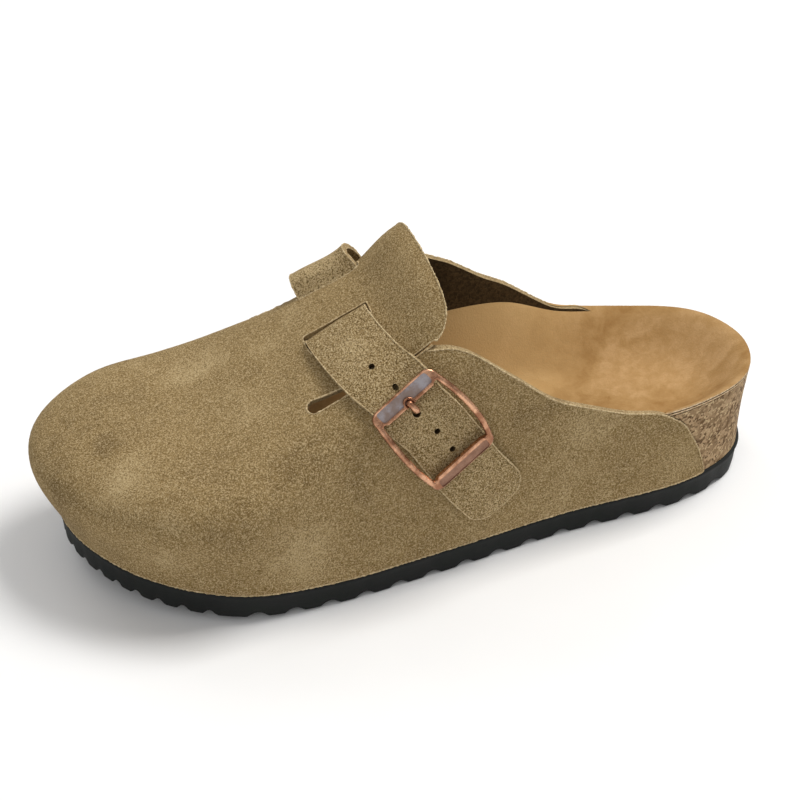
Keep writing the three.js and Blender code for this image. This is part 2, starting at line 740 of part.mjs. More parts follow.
// A closed tube through rings, with flat ends.
function solidTube(rings) {
  const geometry = ringGeometry(rings);
  const count = rings[0].length;
  const index = Array.from(geometry.index.array);
  const lastRow = (rings.length - 1) * count;
  const half = count / 2;
  for (let i = 0; i < half - 1; i += 1) {
    const [a, b, c, d] = [i, i + 1, count - 2 - i, count - 1 - i];
    index.push(a, b, c, a, c, d);
    index.push(lastRow + a, lastRow + c, lastRow + b, lastRow + a, lastRow + d, lastRow + c);
  }
  geometry.setIndex(index);
  return toSolid(geometry);
}

// The slot follows the strap through the suede, with room all round it.
function slotCutter(alongSlot) {
  const span = strapProfile.getLength();
  const thickness = STRAP_THICKNESS + 2 * SLOT_GAP;
  const low = -(WALL + STRAP_THICKNESS / 2 + SLOT_SKIM);
  const high = STRAP_THICKNESS / 2 + SLOT_SKIM;
  const stops = strapStops();
  const inWall = stops.map((stop) => {
    const spot = strapProfile.getPointAt(stop / span);
    return Math.abs(spot.x - alongSlot) < 2 * STRAP_DIP && spot.y > low && spot.y < high;
  });
  const picked = stops.filter((_, i) => inWall[i - 1] || inWall[i] || inWall[i + 1]);
  return band(picked, thickness, () => STRAP_WIDTH / 2 + SLOT_GAP);
}

function roundPin(along, radius, bottom, top) {
  const rings = [bottom, top].map((up) =>
    steps(HOLE_SIDES).slice(0, -1).map((t) => {
      const angle = -2 * Math.PI * t;
      return onStrap(along + radius * Math.cos(angle), radius * Math.sin(angle), up);
    }),
  );
  return solidTube(rings);
}

const domeShares = steps(DOME_ROWS, (t) => t ** 1.2);
const fineRays = makeRays(FINE);
const coarseRays = makeRays(COARSE);

function makeUpper() {
  return lastShell(fineRays, domeShares, 0, WALL)
    .subtract(throatCutter())
    .subtract(slitCutter(-1))
    .subtract(slitCutter(1))
    .subtract(slotCutter(alongSlotInner))
    .subtract(slotCutter(alongSlotOuter));
}

// Room that the suede takes up between itself and the footbed.
function upperRoom() {
  const shell = lastShell(fineRays, domeShares, -3 * WALL, WALL + GAP, OUTSOLE_HEIGHT / 2);
  return shell.subtract(throatCutter(GAP));
}

// Height of the footbed over a ray, as a share of the way to the feather edge.
function footbedHeight(ray, share) {
  const x = ray.cx + ray.ux * ray.reach * share;
  const inner = 0.5 + 0.5 * ray.uy;
  const at = shareAt(x);
  const floor = tableValue(FOOTBED, 'floor', at);
  const rim = tableValue(FOOTBED, 'rimOut', at) * (1 - inner) + tableValue(FOOTBED, 'rimIn', at) * inner;
  const climb = clamp(share / CUP_REACH, 0, 1);
  const cup = climb ** CUP_POWER * (CUP_POWER + 1 - CUP_POWER * climb);
  return soleTop(x) + HEEL_RIM_HEIGHT * (floor + (rim - floor) * cup);
}

// Rings of the footbed, lifted square to its slope.
function bedRings(rays, lift) {
  const e = 0.02;
  return BED_SHARES.map((share) =>
    rays.map((ray) => {
      const reach = ray.reach * share;
      const slope = (footbedHeight(ray, share + e) - footbedHeight(ray, share - e)) / (2 * e * ray.reach);
      const height = footbedHeight(ray, share) + lift * Math.hypot(1, slope);
      return new THREE.Vector3(ray.cx + ray.ux * reach, ray.cy + ray.uy * reach, height);
    }),
  );
}

// Everything below the footbed's face, raised or lowered by a lift.
function bedBlock(lift) {
  const top = bedRings(coarseRays, lift);
  const bottom = [BED_SHARES.at(-1), 0].map((share) =>
    coarseRays.map((ray) => {
      const reach = ray.reach * share;
      return new THREE.Vector3(ray.cx + ray.ux * reach, ray.cy + ray.uy * reach, -OUTSOLE_HEIGHT);
    }),
  );
  return toSolid(ringGeometry([...top, ...bottom]));
}

function makeCork(room) {
  return lastCore(coarseRays, CORE_SHARES, CORK_INSET).intersect(bedBlock(0)).subtract(room);
}

function makeInsole(room) {
  return lastCore(coarseRays, CORE_SHARES, CORK_INSET)
    .intersect(bedBlock(GAP + INSOLE_THICKNESS))
    .subtract(bedBlock(GAP))
    .subtract(room);
}

// The outsole's edge stands a little proud of the cork round the heel.
function ledge(ray) {
  return shareAt(ray.cx) < (HEEL_POLE + TOE_POLE) / 2 ? HEEL_LEDGE * Math.max(ray.ux, 0) : 0;
}

function outsoleRing(share, inset, height) {
  return coarseRays.map((ray) => {
    const reach = (ray.reach + ledge(ray) - inset) * share;
    const x = ray.cx + ray.ux * reach;
    return new THREE.Vector3(x, ray.cy + ray.uy * reach, height(x));
  });
}

// A rounded groove in the tread between two plan points.
function grooveCutter(from, to, width) {
  const run = new THREE.Vector2(to.x - from.x, to.y - from.y);
  const across = new THREE.Vector2(-run.y, run.x).normalize();
  const rings = [from, to].map((end) => {
    const lift = soleSpring(end.x);
    const arch = steps(4).map((t) => {
      const shift = width * (t - 0.5);
      const rise = LUG_DEPTH * Math.sin(Math.PI * t);
      return new THREE.Vector3(end.x + across.x * shift, end.y + across.y * shift, lift + rise);
    });
    return [...arch, arch.at(-1).clone().setZ(lift - LUG_DEPTH), arch[0].clone().setZ(lift - LUG_DEPTH)];
  });
  return hullTube(rings);
}

// A tube between two convex rings, closed by fans.
function hullTube(rings) {
  const geometry = ringGeometry(rings);
  const count = rings[0].length;
  const index = Array.from(geometry.index.array);
  const lastRow = (rings.length - 1) * count;
  for (let i = 1; i < count - 1; i += 1) {
    index.push(0, i, i + 1);
    index.push(lastRow, lastRow + i + 1, lastRow + i);
  }
  geometry.setIndex(index);
  return toSolid(geometry);
}

// Grooves round the toe, fanned out from the front end of the spine.
function toeGrooves() {
  const pole = { x: xAt(TOE_POLE), y: tableValue(SECTIONS, 'shift', TOE_POLE) * BALL_WIDTH };
  const radius = reachToOutline(pole.x, pole.y, -1, 0);
  const count = Math.floor((Math.PI * radius) / TOE_LUG_PITCH);
  return steps(count).slice(1, -1).map((t) => {
    const angle = Math.PI * (0.5 + t);
    const [ux, uy] = [Math.cos(angle), Math.sin(angle)];
    const reach = reachToOutline(pole.x, pole.y, ux, uy);
    const spot = (distance) => ({ x: pole.x + ux * distance, y: pole.y + uy * distance });
    return grooveCutter(spot(reach - TOE_LUG_LENGTH), spot(reach + TOE_LUG_LENGTH), TOE_LUG_NOTCH);
  });
}

function makeOutsole() {
  const top = [0, 0.4, 0.75, 1].map((share) => outsoleRing(share, 0, soleTop));
  const bottom = [1, 0.75, 0.4, 0].map((share) => outsoleRing(share, OUTSOLE_TAPER, soleSpring));
  let sole = toSolid(ringGeometry([...top, ...bottom]));
  for (let x = LUG_PITCH * (Math.floor(xAt(0) / LUG_PITCH) - 0.5); x > xAt(TOE_POLE); x -= LUG_PITCH) {
    sole = sole.subtract(grooveCutter({ x, y: -halfSpan }, { x, y: halfSpan }, LUG_NOTCH));
  }
  toeGrooves().forEach((groove) => {
    sole = sole.subtract(groove);
  });
  return sole;
}

// The stiff buckle's own frame: along its middle line, across it and up from the strap's face.
// The middle line is an arc over the strap, through both bars and the middle.
const alongBar = alongProng - HOLE_TO_BUCKLE;
const buckleReach = (BUCKLE_LENGTH - BUCKLE_BAR) / 2;
const underBuckle = (k, across) => onStrap(alongBar + k * buckleReach, across, strapTop);
const [nearBar, buckleMiddle, farBar] = [0, 1, 2].map((k) => underBuckle(k, 0));
const buckleRun = farBar.clone().sub(nearBar).divideScalar(2);
const buckleBend = farBar.clone().add(nearBar).divideScalar(2).sub(buckleMiddle);
const buckleAcross = new THREE.Vector3();
[0, 1, 2].forEach((k) => {
  buckleAcross.add(underBuckle(k, BUCKLE_WIDTH / 2));
  buckleAcross.sub(underBuckle(k, -BUCKLE_WIDTH / 2));
});
buckleAcross.addScaledVector(buckleRun, -buckleAcross.dot(buckleRun) / buckleRun.lengthSq()).normalize();

function onBuckle(along, across, up) {
  const t = along / buckleReach;
  const tangent = buckleRun.clone().addScaledVector(buckleBend, 2 * t);
  const outward = new THREE.Vector3().crossVectors(tangent, buckleAcross).normalize();
  return buckleMiddle
    .clone()
    .addScaledVector(buckleRun, t)
    .addScaledVector(buckleBend, t * t)
    .addScaledVector(buckleAcross, across)
    .addScaledVector(outward, up + BUCKLE_LIFT);
}

// Buckle frame: a rounded loop whose ends are flat bars and whose sides are bowed rods.
function makeBuckleFrame() {
  const reach = buckleReach;
  const half = BUCKLE_WIDTH / 2 - BUCKLE_ROD / 2;
  const loop = new THREE.Shape();
  const r = BUCKLE_CORNER;
  loop.moveTo(-reach + r, -half);
  loop.lineTo(reach - r, -half);
  loop.absarc(reach - r, -half + r, r, -Math.PI / 2, 0, false);
  loop.lineTo(reach, half - r);
  loop.absarc(reach - r, half - r, r, 0, Math.PI / 2, false);
  loop.lineTo(-reach + r, half);
  loop.absarc(-reach + r, half - r, r, Math.PI / 2, Math.PI, false);
  loop.lineTo(-reach, -half + r);
  loop.absarc(-reach + r, -half + r, r, Math.PI, 1.5 * Math.PI, false);
  const bow = (p) => {
    const sideways = clamp(p.y / half, -1, 1);
    return BUCKLE_BOW * sideways * Math.max(1 - (p.x / reach) ** 2, 0);
  };
  const rings = steps(BUCKLE_STEPS).slice(0, -1).map((t) => {
    const p = loop.getPointAt(t);
    const heading = loop.getTangentAt(t);
    const barness = smoothstep(Math.abs(heading.y), 0.25, 1);
    const wide = lerp(BUCKLE_ROD, BUCKLE_BAR, barness) / 2;
    const thick = lerp(BUCKLE_ROD, BUCKLE_BAR_THICKNESS, barness) / 2;
    return steps(8).slice(0, -1).map((s) => {
      const angle = 2 * Math.PI * s + Math.PI / 8;
      const corner = Math.max(Math.abs(Math.cos(angle)), Math.abs(Math.sin(angle)));
      const square = lerp(1, BAR_SQUARENESS / corner, barness);
      const out = wide * square * Math.cos(angle);
      const rise = thick * square * Math.sin(angle);
      return onBuckle(p.x + heading.y * out, p.y + bow(p) - heading.x * out, BUCKLE_BAR_THICKNESS / 2 + rise);
    });
  });
  return toSolid(ringGeometry(rings, true)).subtract(prongTube(PRONG_DIAMETER / 2 + GAP, GAP));
}

// The prong comes up through a hole in the strap and lies in the notch of the upper bar.
// back: from the hole towards the bar. up: above the strap's face. swell: share of the radius.
function prongTube(radius, extra = 0) {
  const over = BUCKLE_BAR_THICKNESS - PRONG_NOTCH + PRONG_DIAMETER / 2;
  const route = [
    { back: 0, up: -0.8 * STRAP_THICKNESS - BUCKLE_LIFT - extra },
    { back: 0.1 * HOLE_TO_BUCKLE, up: -BUCKLE_LIFT },
    { back: 0.3 * HOLE_TO_BUCKLE, up: 0.8 * over },
    { back: 0.6 * HOLE_TO_BUCKLE, up: 1.03 * over },
    { back: HOLE_TO_BUCKLE - 0.15 * BUCKLE_BAR + extra, up: over },
  ];
  const hole = HOLE_TO_BUCKLE - buckleReach;
  const path = new THREE.CatmullRomCurve3(
    route.map((row) => new THREE.Vector3(hole - row.back, row.up, 0)),
    false,
    'centripetal',
  );
  const sections = [
    { at: 0, swell: 0.45 },
    { at: 0.06, swell: 0.9 },
    { at: 0.14, swell: 1 },
    ...[0.3, 0.45, 0.6, 0.75, 0.88].map((at) => ({ at, swell: 1 })),
    { at: 0.96, swell: 0.85 },
    { at: 1, swell: 0.4 },
  ];
  const rings = sections.map(({ at, swell }) => {
    const spot = path.getPointAt(at);
    const heading = path.getTangentAt(at);
    return steps(8).slice(0, -1).map((t) => {
      const angle = 2 * Math.PI * t;
      const rise = radius * swell * Math.cos(angle);
      return onBuckle(spot.x - heading.y * rise, radius * swell * Math.sin(angle), spot.y + heading.x * rise);
    });
  });
  return hullTube(rings);
}

function makeStrap() {
  let strap = strapBand();
  [-2, -1, 0, 1, 2].forEach((k) => {
    const radius = k === 0 ? PRONG_DIAMETER / 2 + GAP : HOLE_DIAMETER / 2;
    const along = alongProng + k * HOLE_PITCH;
    strap = strap.subtract(roundPin(along, radius, -CUTTER_PROUD, strapTop + CUTTER_PROUD));
  });
  return strap.subtract(prongTube(PRONG_DIAMETER / 2 + GAP, GAP));
}

const group = new THREE.Group();

function addPiece(name, solid, colour, roughness, metalness = 0) {
  const material = new THREE.MeshStandardMaterial({ color: colour, roughness, metalness });
  const mesh = new THREE.Mesh(toGeometry(solid), material);
  mesh.name = name;
  group.add(mesh);
}

const room = upperRoom();
addPiece('outsole', makeOutsole(), COLOURS.outsole, 0.75);
addPiece('cork_footbed', makeCork(room), COLOURS.cork, 0.9);
addPiece('insole', makeInsole(room), COLOURS.footbed, 0.85);
addPiece('upper', makeUpper(), COLOURS.suede, 0.95);
addPiece('strap', makeStrap(), COLOURS.strap, 0.95);
addPiece('buckle_frame', makeBuckleFrame(), COLOURS.copper, 0.35, 1);
addPiece('buckle_prong', prongTube(PRONG_DIAMETER / 2), COLOURS.copper, 0.35, 1);

export default group;
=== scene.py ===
"""A suede clog for the left foot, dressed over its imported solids.

Shapes are worked out in millimetres from one surface of the last, and become metres when a mesh
is made. +X points to the heel, -Y to the outer side of the foot and +Z up.
"""
import math

import bmesh
import bpy
import numpy as np
from mathutils import Matrix


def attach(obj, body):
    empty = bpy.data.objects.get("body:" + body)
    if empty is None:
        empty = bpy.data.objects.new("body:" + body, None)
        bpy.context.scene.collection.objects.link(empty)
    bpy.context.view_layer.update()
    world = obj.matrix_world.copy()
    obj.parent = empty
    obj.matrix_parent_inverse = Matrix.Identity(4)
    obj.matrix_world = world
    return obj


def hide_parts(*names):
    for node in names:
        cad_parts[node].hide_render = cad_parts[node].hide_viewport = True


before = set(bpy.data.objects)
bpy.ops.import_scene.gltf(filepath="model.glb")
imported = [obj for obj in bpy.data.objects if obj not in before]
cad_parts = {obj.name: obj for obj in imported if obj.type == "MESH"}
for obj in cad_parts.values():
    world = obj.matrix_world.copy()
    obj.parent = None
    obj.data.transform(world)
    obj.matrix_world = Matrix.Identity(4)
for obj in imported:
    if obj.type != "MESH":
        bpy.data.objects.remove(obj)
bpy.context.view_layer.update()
MM = 0.001

# Driving sizes of the last, sole and suede
LENGTH = 268
BALL_WIDTH = 96
HEEL_WIDTH = 69
INSTEP_HEIGHT = 100
HEEL_RIM_HEIGHT = 34
TOE_SPRING = 9.4
OUTSOLE_HEIGHT = 10.7
OUTSOLE_TAPER = 1.2
HEEL_LEDGE = 0.5
LUG_PITCH = 13.4
LUG_NOTCH = 7.6
LUG_DEPTH = 1.9
TOE_LUG_PITCH = 8.8
TOE_LUG_NOTCH = 4.6
TOE_LUG_LENGTH = 16
INSOLE_THICKNESS = 1.6
CORK_INSET = 0.6
GROOVE_DEPTH = 0.5
GROOVE_BOTTOM = 0.6
GROOVE_TOP = 0.95
WALL = 2.2
GAP = 0.3
SLIT_WIDTH = 1.1
KEYHOLE_WIDTH = 6.4
TONGUE_CORNER = 9

# Driving sizes of the strap and buckle
STRAP_WIDTH = 25
STRAP_THICKNESS = 2.2
STRAP_CORNER = 8
STRAP_LOOP = 5.5
STRAP_DIP = 7
STRAP_GAP = 0.7
SLOT_GAP = 0.7
SLOT_MOUTH = (-2.7, 0.5)
HOLE_DIAMETER = 2.2
HOLE_PITCH = 10.3
HOLE_TO_BUCKLE = 6.6
BUCKLE_LENGTH = 37.2
BUCKLE_WIDTH = 28
BUCKLE_BOW = 1.9
BUCKLE_BAR = 5.4
BUCKLE_BAR_THICKNESS = 2
BUCKLE_ROD = 2.3
BUCKLE_CORNER = 2.6
PRONG_DIAMETER = 2.4
PRONG_NOTCH = 0.9
BUCKLE_LIFT = 2.1

# Shares of the length where the spine of the last starts and ends
HEEL_POLE = 0.14
TOE_POLE = 0.8
SPRING_START = 0.6

# The feather edge: at (share of LENGTH from the heel), across (share of the width), width.
OUTLINE = [
    (0.000, 0.000, HEEL_WIDTH), (0.029, -0.300, HEEL_WIDTH), (0.120, -0.492, HEEL_WIDTH),
    (0.330, -0.392, BALL_WIDTH), (0.520, -0.453, BALL_WIDTH), (0.680, -0.492, BALL_WIDTH),
    (0.800, -0.467, BALL_WIDTH), (0.905, -0.300, BALL_WIDTH), (0.966, -0.060, BALL_WIDTH),
    (0.983, 0.170, BALL_WIDTH), (0.962, 0.340, BALL_WIDTH), (0.890, 0.470, BALL_WIDTH),
    (0.740, 0.502, BALL_WIDTH), (0.600, 0.434, BALL_WIDTH), (0.450, 0.342, BALL_WIDTH),
    (0.300, 0.325, BALL_WIDTH), (0.120, 0.492, HEEL_WIDTH), (0.029, 0.300, HEEL_WIDTH),
]
OUTLINE_STEPS = 12

# Cross sections of the last: at, ridge, shift, swell outer and inner, shoulder outer and inner.
SECTIONS = [
    (0.00, 1.01, 0.000, 1.32, 1.32, 0.09, 0.09),
    (0.14, 1.04, 0.000, 1.24, 1.24, 0.08, 0.08),
    (0.30, 1.07, 0.085, 1.06, 1.10, 0.08, 0.05),
    (0.42, 1.07, 0.128, 0.84, 0.88, 0.08, 0.07),
    (0.50, 1.00, 0.132, 0.72, 0.76, 0.09, 0.08),
    (0.55, 0.85, 0.130, 0.72, 0.79, 0.10, 0.12),
    (0.60, 0.77, 0.127, 0.72, 0.83, 0.11, 0.16),
    (0.70, 0.62, 0.123, 0.76, 0.93, 0.12, 0.22),
    (0.80, 0.50, 0.120, 0.96, 1.08, 0.09, 0.29),
    (0.90, 0.45, 0.120, 0.90, 0.93, 0.12, 0.36),
    (1.00, 0.38, 0.120, 0.82, 0.78, 0.00, 0.06),
]
SECTION_COLUMNS = ["ridge", "shift", "swell_out", "swell_in", "shoulder_out", "shoulder_in"]
SWELL_POWER = [(0.00, 2.0), (0.80, 2.0), (0.90, 1.35), (1.00, 1.20)]

# The footbed: at, floor, outer and inner rim, as heights in shares of HEEL_RIM_HEIGHT.
FOOTBED = [
    (0.00, 0.56, 0.98, 0.98), (0.14, 0.50, 1.01, 1.01), (0.22, 0.52, 0.99, 1.19),
    (0.32, 0.55, 0.88, 1.58), (0.42, 0.50, 0.70, 1.73), (0.52, 0.40, 0.52, 1.64),
    (0.64, 0.30, 0.42, 0.94), (0.80, 0.26, 0.36, 0.46), (1.00, 0.24, 0.34, 0.34),
]
FOOTBED_COLUMNS = ["floor", "rim_out", "rim_in"]
CUP_POWER = 5
CUP_REACH = 1.09

# Side view of the opening: at, up in shares of INSTEP_HEIGHT above the outsole.
THROAT = [
    (0.524, 0.804), (0.509, 0.814), (0.494, 0.818), (0.478, 0.808), (0.459, 0.780),
    (0.406, 0.667), (0.345, 0.527), (0.284, 0.448), (0.237, 0.398), (0.190, 0.364),
    (0.168, 0.327), (0.146, 0.275), (0.134, 0.220), (0.117, 0.132), (0.104, 0.035),
    (0.098, -0.060),
]
TONGUE_END = 0.486
# How much the opening's edge climbs inwards over one BALL_WIDTH, in shares of INSTEP_HEIGHT.
THROAT_CLIMB = [
    (0.10, 0.050), (0.24, 0.052), (0.285, 0.112), (0.32, 0.152), (0.36, 0.148), (0.40, 0.118),
    (0.46, 0.046), (0.50, 0.034), (0.55, 0.034),
]
THROAT_LEVEL = -0.4
THROAT_STRIPS = 16
CORNER_START = 0.9
CORNER_BEND = 0.52

# The slits: at, then the outer and the inner share of the way from spine to feather edge.
SLIT = [(0.509, 0.370, 0.325), (0.555, 0.327, 0.360), (0.620, 0.286, 0.380), (0.678, 0.256, 0.365)]
SLIT_COLUMNS = ["outer", "inner"]

# Route of the strap: at, side in shares of the way to the feather edge, outer side negative.
STRAP_ROUTE = [
    (0.510, 0.920), (0.528, 0.740), (0.542, 0.580), (0.557, 0.430), (0.571, 0.300),
    (0.583, 0.180), (0.594, 0.050), (0.603, -0.070), (0.598, -0.180), (0.584, -0.300),
    (0.567, -0.390), (0.553, -0.490), (0.528, -0.610), (0.505, -0.710), (0.474, -0.810),
    (0.426, -0.915),
]
SLOT_SIDE_INNER = 0.18
SLOT_SIDE_OUTER = -0.07
PRONG_SIDE = -0.512

# Rise of the strap: slot, dips past it, up (1 on the suede, -1 under it), share of the loop.
STRAP_RISE = [
    ("inner", -5.20, 1.00, 0.00), ("inner", -3.60, 1.00, 0.22), ("inner", -2.20, 1.00, 0.84),
    ("inner", -1.20, 1.00, 1.00), ("inner", -0.45, 1.00, 0.72), ("inner", -0.10, -0.10, 0.00),
    ("inner", 0.25, -0.80, 0.00), ("inner", 0.90, -1.00, 0.00), ("outer", -0.80, -1.00, 0.00),
    ("outer", -0.30, -0.85, 0.00), ("outer", 0.00, -0.24, 0.00), ("outer", 0.35, 0.75, 0.00),
    ("outer", 0.90, 1.00, 0.00), ("outer", 3.00, 1.00, 0.00),
]

# Soft troughs and ridges of the worn vamp.
# at, side: middle. length, width: half sizes in mm. turn: degrees from the shoe's length
# towards its inner side. depth: mm, negative for a trough.
CREASES = [
    (0.640, -0.20, 26, 7, 62, -0.55),
    (0.668, -0.12, 28, 6, 68, 0.40),
    (0.700, -0.16, 30, 8, 74, -0.45),
    (0.735, -0.05, 30, 9, 80, 0.30),
    (0.655, 0.22, 22, 7, 112, -0.40),
    (0.600, -0.55, 20, 7, 35, -0.45),
    (0.560, -0.72, 26, 6, 20, 0.35),
    (0.520, -0.86, 30, 5, 8, -0.40),
    (0.855, -0.40, 16, 12, 30, -0.50),
    (0.900, 0.10, 18, 12, 70, -0.35),
    (0.820, 0.30, 24, 12, 15, 0.30),
    (0.700, -0.60, 30, 13, 15, -0.40),
    (0.780, -0.72, 26, 10, 5, 0.35),
    (0.400, -0.80, 26, 8, 10, -0.45),
    (0.330, -0.86, 22, 7, 5, 0.35),
    (0.440, -0.62, 18, 7, 48, 0.35),
]
CREASE_SWAY = 1.5


def x_at(share):
    return (0.5 - share) * LENGTH


def share_at(x):
    return 0.5 - x / LENGTH


class Table:
    """Smooth values between the rows of a table, with straight ends."""

    def __init__(self, rows, columns):
        data = np.array(rows, float)
        self.at = data[:, 0]
        self.values = dict(zip(columns, data[:, 1:].T))

    def __call__(self, column, at):
        x, y = self.at, self.values[column]
        at = np.asarray(at, float)
        span = np.diff(x)
        slope = np.diff(y) / span
        tangent = np.empty(len(x))
        tangent[[0, -1]] = slope[[0, -1]]
        tangent[1:-1] = (slope[1:] * span[:-1] + slope[:-1] * span[1:]) / (span[:-1] + span[1:])
        i = np.clip(np.searchsorted(x, at) - 1, 0, len(span) - 1)
        t = (at - x[i]) / span[i]
        s = np.clip(t, 0, 1)
        start = (2 * s - 3) * s * s + 1
        end = (3 - 2 * s) * s * s
        leave = ((s - 2) * s + 1) * s * span[i] * tangent[i]
        arrive = (s - 1) * s * s * span[i] * tangent[i + 1]
        value = start * y[i] + end * y[i + 1] + leave + arrive
        before = np.minimum(t, 0) * span[i] * tangent[i]
        after = np.maximum(t - 1, 0) * span[i] * tangent[i + 1]
        return value + before + after


sections = Table(SECTIONS, SECTION_COLUMNS)
swell_power = Table(SWELL_POWER, ["power"])
footbed = Table(FOOTBED, FOOTBED_COLUMNS)
slit_table = Table(SLIT, SLIT_COLUMNS)
throat_climb = Table(THROAT_CLIMB, ["climb"])


class Spline:
    """A centripetal curve through points, sampled by the share of its points passed."""

    def __init__(self, points, closed=False):
        p = np.array(points, float)
        n = len(p)
        if closed:
            ring = np.vstack([p[-1:], p, p[:2]])
        else:
            ring = np.vstack([2 * p[:1] - p[1:2], p, 2 * p[-1:] - p[-2:-1]])
        self.count = n if closed else n - 1
        self.ring = ring

    def __call__(self, share):
        t = np.atleast_1d(np.asarray(share, float)) * self.count
        i = np.clip(np.floor(t).astype(int), 0, self.count - 1)
        t = (t - i)[:, None]
        p0, p1, p2, p3 = (self.ring[i + k] for k in range(4))
        hops = (p1 - p0, p2 - p1, p3 - p2)
        d0, d1, d2 = (np.sqrt(np.linalg.norm(hop, axis=1))[:, None] for hop in hops)
        m1 = ((p1 - p0) / d0 - (p2 - p0) / (d0 + d1) + (p2 - p1) / d1) * d1
        m2 = ((p2 - p1) / d1 - (p3 - p1) / (d1 + d2) + (p3 - p2) / d2) * d1
        return p1 + m1 * t + (3 * (p2 - p1) - 2 * m1 - m2) * t**2 + (2 * (p1 - p2) + m1 + m2) * t**3


def along_points(points):
    hops = np.linalg.norm(np.diff(points, axis=0), axis=1)
    return np.concatenate([[0], np.cumsum(hops)])


def at_lengths(stops, length, points):
    """Points at lengths along a line."""
    return np.column_stack([np.interp(stops, length, column) for column in points.T])


def unit(v):
    return v / np.maximum(np.linalg.norm(v, axis=-1, keepdims=True), 1e-12)


def smoothstep(x, low, high):
    t = np.clip((x - low) / (high - low), 0, 1)
    return t * t * (3 - 2 * t)


outline_curve = Spline([(x_at(at), across * width) for at, across, width in OUTLINE], closed=True)
OUTLINE_COUNT = len(OUTLINE) * OUTLINE_STEPS
outline_points = outline_curve(np.arange(OUTLINE_COUNT) / OUTLINE_COUNT)
REACH_BLOCK = 4000


def reach_to_outline(cx, cy, ux, uy):
    """Distance from plan points to the feather edge along directions."""
    a = outline_points
    edge = np.roll(a, -1, axis=0) - a
    nearest = np.empty(len(cx))
    for k in range(0, len(cx), REACH_BLOCK):
        block = slice(k, k + REACH_BLOCK)
        vx, vy = ux[block, None], uy[block, None]
        turn = vx * edge[:, 1] - vy * edge[:, 0]
        turn = np.where(np.abs(turn) < 1e-9, 1e-9, turn)
        wx = a[:, 0] - cx[block, None]
        wy = a[:, 1] - cy[block, None]
        reach = (wx * edge[:, 1] - wy * edge[:, 0]) / turn
        along = (wx * vy - wy * vx) / turn
        good = (reach > 0) & (along >= -1e-6) & (along <= 1 + 1e-6)
        nearest[block] = np.where(good, reach, 1e6).min(axis=1)
    return nearest


class Rays:
    """Rays from the spine to the feather edge, along which the whole clog is drawn."""

    def __init__(self, cx, ux, uy):
        self.cx = np.atleast_1d(np.asarray(cx, float))
        self.ux = np.broadcast_to(np.asarray(ux, float), self.cx.shape)
        self.uy = np.broadcast_to(np.asarray(uy, float), self.cx.shape)
        self.cy = sections("shift", share_at(self.cx)) * BALL_WIDTH
        self.reach = reach_to_outline(self.cx, self.cy, self.ux, self.uy)

    def __len__(self):
        return len(self.cx)


def rays_round(stations, toe, heel):
    """Rays all round the last, counterclockwise from the inner side of the heel."""
    line = x_at(HEEL_POLE + (TOE_POLE - HEEL_POLE) * np.arange(stations + 1) / stations)
    toe_fan = np.pi / 2 + np.pi * np.arange(1, toe) / toe
    heel_fan = -np.pi / 2 + np.pi * np.arange(1, heel) / heel
    half = np.pi / 2
    angle = np.concatenate([line * 0 + half, toe_fan, line * 0 - half, heel_fan])
    cx = np.concatenate([line, toe_fan * 0 + x_at(TOE_POLE), line[::-1], heel_fan * 0 + x_at(HEEL_POLE)])
    return Rays(cx, np.cos(angle), np.sin(angle))


def sole_spring(x):
    past = np.maximum(0, (share_at(x) - SPRING_START) / (1 - SPRING_START))
    return TOE_SPRING * past * past


def sole_top(x):
    return sole_spring(x) + OUTSOLE_HEIGHT


def last_points(rays, share):
    """Outer surface of the suede. share is 0 on the spine and 1 at the feather edge."""
    turn = np.pi / 2 * share
    inner = 0.5 + 0.5 * rays.uy
    at = share_at(rays.cx + 0.7 * rays.ux * rays.reach)

    def mix(name):
        return sections(f"{name}_out", at) * (1 - inner) + sections(f"{name}_in", at) * inner

    swell = mix("swell") * np.maximum(np.cos(turn), 0) ** swell_power("power", at)
    out = rays.reach * np.sin(turn) * (1 + swell)
    up = np.cos(turn) * (1 + mix("shoulder") * np.sin(turn) ** 2)
    x = rays.cx + rays.ux * out
    y = rays.cy + rays.uy * out
    rise = sections("ridge", share_at(x)) * INSTEP_HEIGHT
    return np.stack([x, y, sole_top(x) + GAP + rise * up], axis=-1)


def last_points_at(plan):
    """The same surface from plan points, which stand for their share of the nearest ray."""
    cx = np.clip(plan[:, 0], x_at(TOE_POLE), x_at(HEEL_POLE))
    cy = sections("shift", share_at(cx)) * BALL_WIDTH
    distance = np.maximum(np.hypot(plan[:, 0] - cx, plan[:, 1] - cy), 1e-9)
    rays = Rays(cx, (plan[:, 0] - cx) / distance, (plan[:, 1] - cy) / distance)
    return last_points(rays, distance / rays.reach)


def place_on_last(at, side):
    """Point, direction to the heel and direction to the inner side at a place on the suede."""
    ray = Rays([x_at(at)], 0, math.copysign(1, side))
    plan = np.array([[ray.cx[0], ray.cy[0] + side * ray.reach[0]]])
    step = 0.5
    hops = np.array([[0, 0], [step, 0], [0, step]])
    point, back, inner = last_points_at(plan + hops)
    back = unit(back - point)
    inner = inner - point
    inner = unit(inner - back * inner.dot(back))
    return point, back, inner


def relief(points):
    """Height of the troughs and ridges at points of the suede."""
    height = np.zeros(len(points))
    for at, side, length, width, turn, depth in CREASES:
        middle, back, inner = place_on_last(at, side)
        angle = math.radians(turn)
        along = back * math.cos(angle) + inner * math.sin(angle)
        normal = unit(np.cross(back, inner))
        across = np.cross(normal, along)
        offset = points - middle
        u = offset @ along / length
        v = (offset @ across + CREASE_SWAY * np.sin(2 * u)) / width
        w = offset @ normal / (length + width)
        height += depth * np.exp(-(u * u + v * v + w * w))
    return height


# Meshes
WELD_CELLS = 2000


